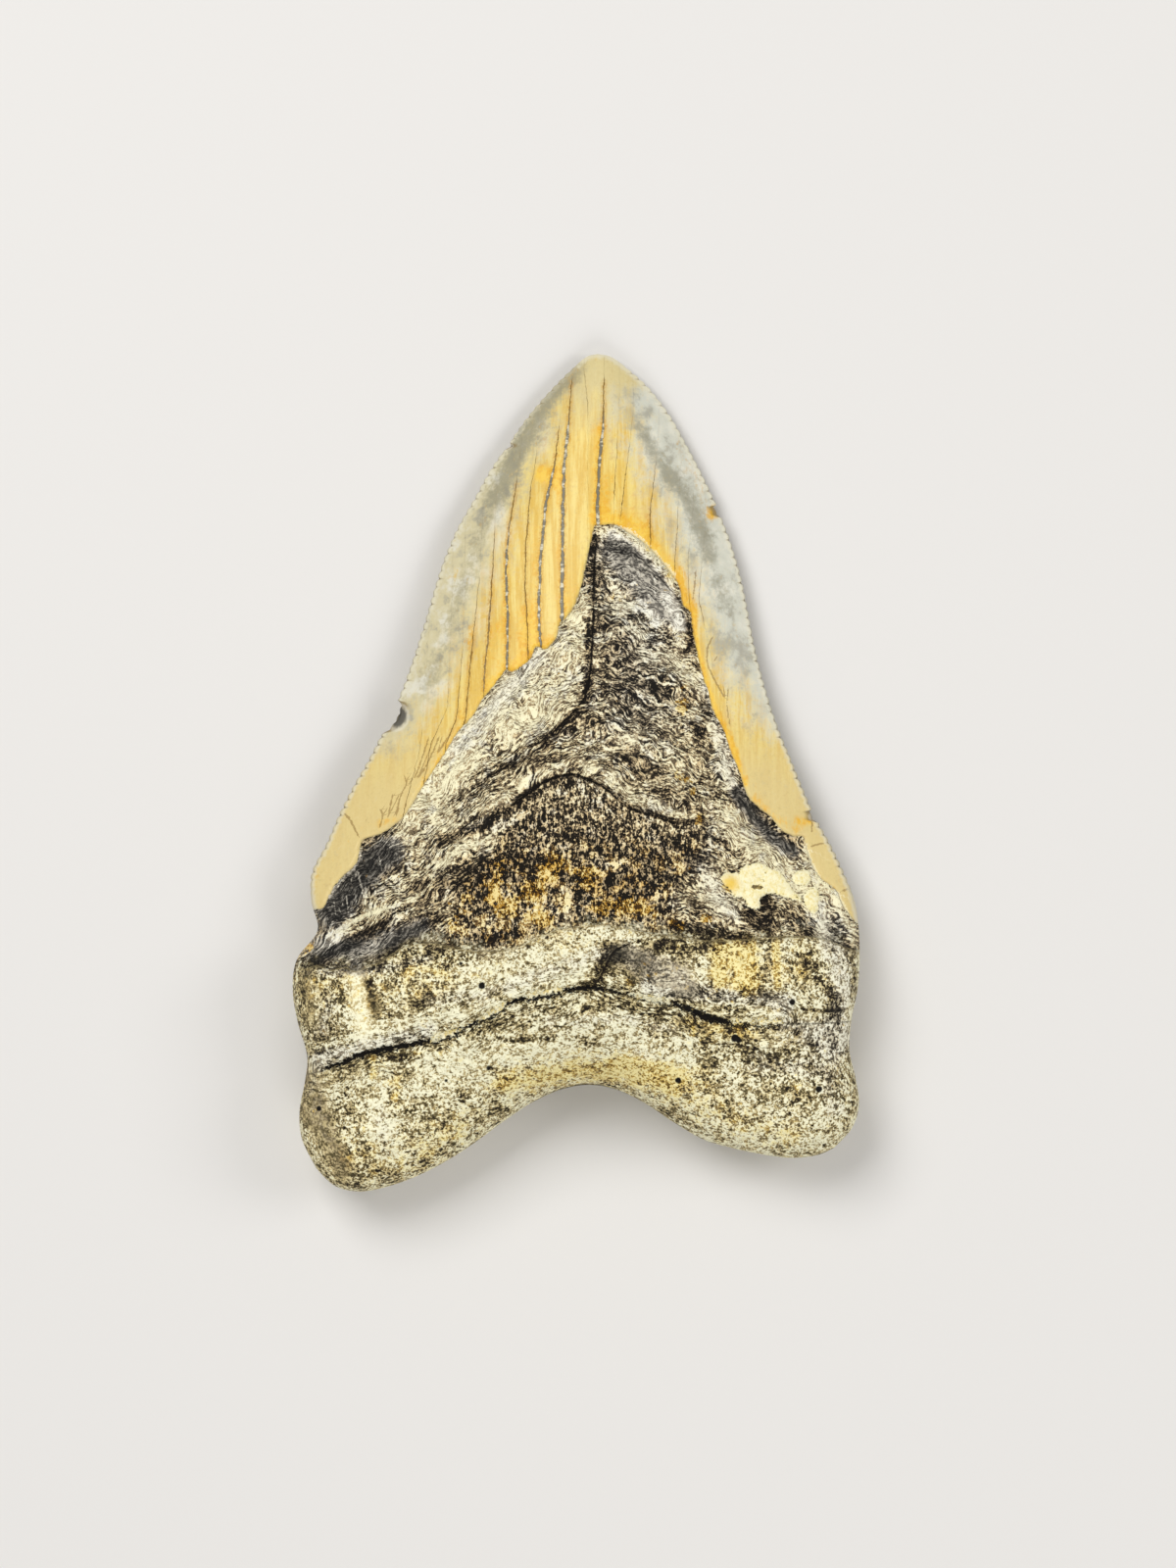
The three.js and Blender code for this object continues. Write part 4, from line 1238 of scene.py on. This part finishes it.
def fossil_material(settings):
    """Enamel, bare core and root in one finish, told apart by the fields on the mesh."""
    material = bpy.data.materials.new("fossil_tooth")
    material.use_nodes = True
    material.node_tree.nodes.clear()
    w = Wire(material.node_tree)
    g = Ground(w)
    enamel, enamel_height = enamel_look(w, g, settings)
    core, core_height = core_look(w, g)
    rooty, root_height = root_look(w, g)
    bare_mask = (g.bare + g.fine.swing(0.5)).rise(-0.08, 0.08)
    root_mask = (g.root + g.fine.swing(3.0) + g.patch.swing(5.0)).rise(-1.6, 1.6)
    worn = (bare_mask + g.root.rise(-0.4, 0.4)).clip()
    colour = w.mix(worn, enamel, w.mix(root_mask, core, rooty))
    worn_height = core_height * (1 - root_mask) + root_height * root_mask
    height = enamel_height * (1 - worn) + worn_height * worn
    bump = w.node("ShaderNodeBump", {}, {
        "Strength": 1.0, "Distance": BUMP_DEPTH * settings.relief, "Height": height})
    roughness = ENAMEL_ROUGHNESS + (WORN_ROUGHNESS - ENAMEL_ROUGHNESS) * worn + g.fine.swing(0.2)
    shader = w.node("ShaderNodeBsdfPrincipled", {}, {
        "Base Color": colour, "Roughness": roughness, "Normal": bump, "Specular IOR Level": SHEEN})
    w.node("ShaderNodeOutputMaterial", {}, {"Surface": shader})
    return material


def enamel_look(w, g, settings):
    """Cream enamel streaked along the crown, grey towards the edges, with darker grey that is partly
    painted shade, orange along breaks, with cracks.
    """
    streak = g.stretched(g.y, 1.3, 0.08, 5.0, 0.68)
    cloud = w.noise(w.place(g.x * 0.9, g.y * 0.5, g.z * 0.5), 0.34, 4.0, 0.6)
    cream = w.mix(streak.rise(0.38, 0.60), settings.enamel_deep, settings.enamel)
    low = (-g.y + cloud.swing(10.0)).rise(-12.0, 4.0)
    tip = (g.y + cloud.swing(14.0)).rise(48.0, 57.0)
    colour = w.mix(tip * 0.85, w.mix(low * 0.85, cream, settings.enamel_low), settings.enamel_tip)
    grey = (w.field("grey") + cloud.swing(8.0) + streak.swing(4.0) + g.fine.swing(3.0)
            + g.clump.swing(4.0)).rise(-3.6, 3.6)
    colour = w.mix(grey * 0.95, colour, grey_enamel(w, g, settings, cloud))
    # Darker grey: real patches, and painted shade along the tip's left edge and beside the broken edge.
    dim = (w.field("dim") + cloud.swing(0.9) + g.fine.swing(0.9) + g.clump.swing(0.8)).rise(0.05, 1.0)
    colour = w.mix(dim * 0.75, colour, settings.enamel_dim_and_shade)
    orange = (w.field("orange") + cloud.swing(1.4) + streak.swing(1.2) + g.fine.swing(1.2)).rise(0.18, 0.95)
    deep = (g.fine + cloud).rise(0.85, 1.2)
    colour = w.mix(orange, colour, w.mix(deep, settings.enamel_orange, TINTS["deep orange"]))
    mottle = g.fine.swing(1.2) + g.grit.swing(0.25)
    colour = w.mix(mottle.rise(0.0, 0.5) * 0.3, colour, TINTS["pale mottle"])
    colour = w.mix((-mottle).rise(0.0, 0.5) * 0.3, colour, TINTS["brown mottle"])
    wide, crack, side = crack_lines(w, g)
    stipple = (g.fine + g.speck).rise(0.95, 1.15)
    colour = w.mix(side * (0.25 + 0.35 * stipple), colour, TINTS["crack stain"])
    along = w.noise(w.place(g.x * 0.4, g.y * 0.9, 3.0), 1.0, 3.0, 0.7)
    filled = w.mix(along.rise(0.50, 0.62), TINTS["crack dirt"], TINTS["crack grit"])
    colour = w.mix(crack, colour, w.mix(wide, TINTS["hairline"], filled))
    line = w.mix(g.line_tone.rise(-0.1, 0.1), TINTS["dark line"], TINTS["pale line"])
    colour = w.mix(g.line * 0.6, colour, line)
    height = streak * 0.15 + g.fine * 0.15 - crack * 0.6
    return worn_edges(w, g, colour, dim), height


def grey_enamel(w, g, settings, cloud):
    """Grey enamel, warmer on the left, with dark and white haze."""
    colour = w.mix((g.x + cloud.swing(30.0)).rise(-8.0, 8.0), TINTS["warm grey"], settings.enamel_grey)
    haze = w.noise(g.spot, 0.2, 5.0, 0.68)
    colour = w.mix(haze.rise(0.50, 0.64) * 0.85, colour, TINTS["grey haze"])
    return w.mix((1 - haze).rise(0.50, 0.64) * 0.85, colour, TINTS["white haze"])


def worn_edges(w, g, colour, dim):
    """The enamel's broken edge with painted shade along it, its pale rim along the outline, a painted
    highlight, painted shade in the notches, and the chips.
    """
    # Painted shade along the enamel's broken edge, where it turns down to the core.
    broken = (g.bare + 0.30 + g.fine.swing(0.5)).rise(0.0, 0.3)
    colour = w.mix(broken * 0.2, colour, TINTS["broken edge"])
    # Painted highlight: a pale rim along the outline, weaker where the darker grey and painted shade lie.
    rim = (1 - (w.field("inside") + g.fine.swing(1.2)).rise(0.2, 0.9)) * (0.7 - 0.4 * dim)
    colour = w.mix(rim, colour, TINTS["rim"])
    # Painted shade in the notches between the edge's teeth.
    colour = w.mix(w.field("notch").rise(0.08, 0.28) * 0.85, colour, TINTS["notch"])
    chip = w.field("chip") + g.fine.swing(0.3)
    colour = w.mix(chip.rise(0.05, 0.2) * 0.35, colour, TINTS["chip rim"])
    return w.mix(chip.rise(0.22, 0.5) * 0.9, colour, TINTS["chip"])


def crack_lines(w, g):
    """The long cracks: how wide each is (0 hairline, 1 open), the crack itself and a band beside it."""
    phase = w.field("crack")
    waver = w.noise(g.spot, 0.7, 4.0, 0.7).swing(0.54)
    off = abs((phase - phase.math("ROUND", phase)) * w.field("crack_gap") + waver)
    whole = w.field("crack_half")
    half = whole * (w.noise(w.place(g.x, g.y * 0.7, 7.0), 0.9, 3.0, 0.75) * 2.5 - 0.37)
    wide = whole.rise(0.10, 0.16)
    crack = (half - off).rise(-0.03, 0.06)
    side = (half + 0.45 - off).rise(-0.1, 0.35) * whole.rise(0.02, 0.12)
    return wide, crack, side


def flecked(noise, cover, contrast):
    """Brightness of a flecked surface: pale flecks where the noise is above a level that leaves the given
    cover, dark between them, as far apart as the contrast says."""
    held = cover.rise(-0.15, 1.15, 0.06, 0.94)
    fleck = (noise - 0.5 + held.swing(0.22)).rise(-0.30, 0.30)
    return 0.5 + held.swing(0.9) + fleck.swing(contrast)


def core_look(w, g):
    """Bare core: flaked leaves of pale and dark mineral, breaking into upright fibres below the arch, with
    golden blotches and pale crust. Shade at the leaves' feet and under the ledges, light on their raised
    edges and bright glint threads are painted."""
    level = g.leaf * CORE_LEAF
    dash = g.stretched(level, 0.85, 2.8, 2.0, 0.95)
    band = g.stretched(level, 0.16, 0.9, 4.0, 0.62)
    thread = g.stretched(g.y, 2.0, 0.8, 2.0, 0.95)
    fibre = w.field("fibre").rise(-0.8, 0.8)
    grain = 0.5 + (dash * (1 - fibre) + thread * fibre).swing(2.4) + g.speck.swing(0.55 + fibre * 0.25)
    low = fibre * (-g.y + g.clump.swing(16.0)).rise(8.0, 14.0)
    blotch = w.noise(g.spot, 0.5, 2.0, 0.7).rise(0.46, 0.58)
    apart = (1 - fibre) * (g.patch + band).rise(0.8, 1.15)
    # Painted shade at each leaf's hollow foot, and a painted highlight on its raised edge.
    foot, lip = g.foot * apart, g.saw.rise(0.75, 0.95) * apart
    cover = (0.49 + g.tone * 1.18 + (band.swing(0.9) + g.clump.swing(0.8)) * (1 - g.calm * 0.7)
             - fibre * 0.05 - foot * 0.45 + lip * 0.25 + low * blotch.swing(0.3))
    bright = flecked(grain, cover, 0.70 + g.rough * 0.13 - g.calm * 0.36)
    # Painted glint threads, then the fine lines and the painted shade under the ledges.
    bright = bright + (g.glint_threads - 0.3) * (1 - g.calm) * 0.14 + g.lines_and_ledge_shade
    ashen = (g.calm + w.field("cool") * 0.7 + (g.clump + g.patch).rise(1.02, 1.22) * 0.5).clip()
    colour = w.mix(ashen, w.ramp(bright, CORE_SHADES), w.ramp(bright, GREY_SHADES))
    golden = (g.stain * 0.95 + low * blotch * 0.6).clip()
    colour = w.mix(golden, colour, w.ramp(bright + g.stain * 0.18, OCHRE_SHADES))
    crust = (w.field("crust") + g.fine.swing(0.9) + g.speck.swing(0.4)).rise(-0.08, 0.10)
    height = bright * (1 - crust) + crust * (0.9 + g.fine)
    return w.mix(crust, colour, crust_colour(w, g)), height


def crust_colour(w, g):
    """Pale crust with dark pits and golden spots."""
    pale = w.ramp(0.88 + g.speck.swing(0.3) + g.fine.swing(0.8) - g.line * 0.6, CRUST_SHADES)
    golden = (w.field("stain") + g.fine.swing(0.6)).rise(0.1, 0.9)
    return w.mix(golden * 0.9, pale, TINTS["golden crust"])


def root_look(w, g):
    """Root: sandy speckle, leafy along the long crack, with grey and yellow zones and vessel holes. Shade
    at the leaves' feet, in the crack's gap and in the holes, and bright glint threads, are painted.
    """
    level = g.leaf * ROOT_LEAF
    dash = g.stretched(level, 1.0, 2.6, 2.0, 0.95)
    band = g.stretched(level, 0.14, 0.9, 4.0, 0.62)
    near = 1 - abs(g.seam).rise(1.5, 9.0)
    grain = 0.5 + dash.swing(near) * 2.0 + g.speck.swing(1.1 - near * 0.4)
    # Painted shade at each leaf's hollow foot near the crack.
    foot = g.foot * near * (g.patch + band).rise(0.85, 1.15)
    cool = (w.field("cool") + g.clump.swing(1.6)).rise(0.3, 1.0)
    cover = (0.67 + g.tone * 0.85 + band.swing(0.2 + 0.8 * near)
             + (g.clump.swing(1.45) + g.patch.swing(1.25)) * (1 - g.calm * 0.7) - cool * 0.06 - foot * 0.4)
    bright = flecked(grain, cover, 0.61 + g.rough * 0.22 - g.calm * 0.40)
    # Painted glint threads, then the fine lines and the painted shade under the ledges.
    bright = bright + (g.glint_threads - 0.25) * (1 - g.calm) * (0.08 + 0.14 * g.rough) + g.lines_and_ledge_shade
    colour = w.mix(cool * 0.65, w.ramp(bright, ROOT_SHADES), w.ramp(bright, GREY_SHADES))
    warm = (w.field("warm") + g.clump.swing(2.2)).rise(0.10, 0.85)
    colour = w.mix((g.stain * 0.8 + warm * 0.9).clip(), colour, w.ramp(bright, YELLOW_SHADES))
    gap, bead = root_crack(w, g)
    # Painted shade in the crack's open gap.
    colour = w.mix(gap, colour, TINTS["open crack"])
    colour = w.mix(bead, colour, w.mix(g.speck.rise(0.3, 0.6), TINTS["bead"], TINTS["bead top"]))
    holes = vessel_holes(w, g)
    colour = w.mix(holes, colour, TINTS["hole shade"])
    return colour, bright - gap * 1.5 - holes * 1.5 + bead * 0.6


def root_crack(w, g):
    """The long crack's black gap, painted shade in its opening and just below the grit, and the beads of
    grit that stand above it where it is filled.
    """
    fill = (w.field("seam_fill") + g.fine.swing(0.6)).rise(0.4, 0.6)
    half = w.field("seam_open") * (0.3 + 0.8 * g.fine + 0.6 * g.speck)
    off = g.seam + g.fine.swing(2.4)
    gap = (half * (1 - 0.4 * fill) - abs(off + fill * 0.42)).rise(-0.05, 0.07)
    bead = (half + 0.06 - abs(off - 0.26)).rise(-0.05, 0.07) * fill
    return gap, bead


def vessel_holes(w, g):
    """Dark round holes of painted shade, each where the distance from its middle is under its radius."""
    total = 0.0
    for px, py, radius in VESSEL_HOLES:
        cx, cy = traced((px, py))
        far = ((g.x - float(cx)) ** 2.0 + (g.y - float(cy)) ** 2.0) ** 0.5
        total = (radius + g.fine.swing(0.3) - far).rise(-0.1, 0.1) + total
    return total.clip()


def mesh_piece(name, vertices, faces):
    """A mesh object at the origin, its vertices given in millimetres."""
    mesh = bpy.data.meshes.new(name)
    mesh.from_pydata((vertices * MM).tolist(), [], faces)
    mesh.polygons.foreach_set("use_smooth", np.ones(len(mesh.polygons), bool))
    mesh.update()
    piece = bpy.data.objects.new(name, mesh)
    bpy.context.scene.collection.objects.link(piece)
    return piece


class TOOTH_OT_fossil(bpy.types.Operator):
    """Builds the fossil tooth with its breaks, cracks and finish"""
    bl_idname = "tooth.fossil"
    bl_label = "Fossil Tooth"

    def execute(self, context):
        (vertices, faces), named = tooth_arrays()
        piece = mesh_piece("fossil_tooth", vertices, faces)
        for name, values in named.items():
            layer = piece.data.attributes.new(name, "FLOAT", "POINT")
            layer.data.foreach_set("value", values.astype(np.float32))
        piece.data.materials.append(fossil_material(context.scene.tooth_settings))
        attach(piece, "root")
        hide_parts("tooth")
        return {"FINISHED"}


class TOOTH_OT_stage(bpy.types.Operator):
    """Lays the pale floor and sets the soft lights and the camera"""
    bl_idname = "tooth.stage"
    bl_label = "Stage"

    def execute(self, context):
        settings = context.scene.stage_settings
        lay_floor(settings)
        set_lights(context.scene, settings)
        set_camera(context.scene, settings)
        return {"FINISHED"}


def lay_floor(settings):
    """A plain square of floor at the level the tooth lies on."""
    corners = FLOOR_HALF * np.array([(-1, -1, 0), (1, -1, 0), (1, 1, 0), (-1, 1, 0)])
    floor = mesh_piece("floor", corners, [(0, 1, 2, 3)])
    material = bpy.data.materials.new("pale_floor")
    material.use_nodes = True
    shader = material.node_tree.nodes["Principled BSDF"]
    shader.inputs["Base Color"].default_value = settings.floor
    shader.inputs["Roughness"].default_value = FLOOR_ROUGHNESS
    floor.data.materials.append(material)


def set_lights(scene, settings):
    """An even sky, a broad key light from the upper left, a weaker one from the right and one from the
    root's end."""
    world = bpy.data.worlds.new("studio")
    world.use_nodes = True
    sky = world.node_tree.nodes["Background"]
    sky.inputs["Strength"].default_value = settings.fill
    sky.inputs["Color"].default_value = SKY
    scene.world = world
    for name, place, size, share in LAMPS:
        light = bpy.data.lights.new(name, "AREA")
        light.energy, light.size = share * settings.key, size
        lamp = bpy.data.objects.new(name, light)
        lamp.location = place
        lamp.rotation_euler = (-lamp.location).to_track_quat("-Z", "Y").to_euler()
        scene.collection.objects.link(lamp)
    scene.view_settings.view_transform = "Standard"


def set_camera(scene, settings):
    """A long lens straight above, framed so that one photograph pixel spans the same part of the tooth."""
    data = bpy.data.cameras.new("camera")
    frame_height = FRAME_SIZE[1] * PIXEL * MM
    data.lens = data.sensor_width * settings.distance / frame_height
    data.clip_end = CAMERA_REACH
    camera = bpy.data.objects.new("camera", data)
    middle = traced(FRAME_SIZE / 2) * MM
    camera.location = (middle[0], middle[1], settings.distance)
    scene.collection.objects.link(camera)
    scene.camera = camera


class TOOTH_PT_panel(bpy.types.Panel):
    """Lists the tooth's operators and settings"""
    bl_idname = "TOOTH_PT_panel"
    bl_label = "Fossil Tooth"
    bl_space_type = "VIEW_3D"
    bl_region_type = "UI"
    bl_category = "Tooth"

    def draw(self, context):
        layout = self.layout
        for operator in (TOOTH_OT_fossil, TOOTH_OT_stage):
            layout.operator(operator.bl_idname)
        for settings in (context.scene.tooth_settings, context.scene.stage_settings):
            for name in settings.__annotations__:
                layout.prop(settings, name)


CLASSES = (ToothSettings, StageSettings, TOOTH_OT_fossil, TOOTH_OT_stage, TOOTH_PT_panel)


def register():
    for each in CLASSES:
        bpy.utils.register_class(each)
    bpy.types.Scene.tooth_settings = bpy.props.PointerProperty(type=ToothSettings)
    bpy.types.Scene.stage_settings = bpy.props.PointerProperty(type=StageSettings)


def unregister():
    del bpy.types.Scene.stage_settings
    del bpy.types.Scene.tooth_settings
    for each in reversed(CLASSES):
        bpy.utils.unregister_class(each)


def main():
    register()
    bpy.ops.tooth.fossil()
    bpy.ops.tooth.stage()


if __name__ == "__main__":
    main()
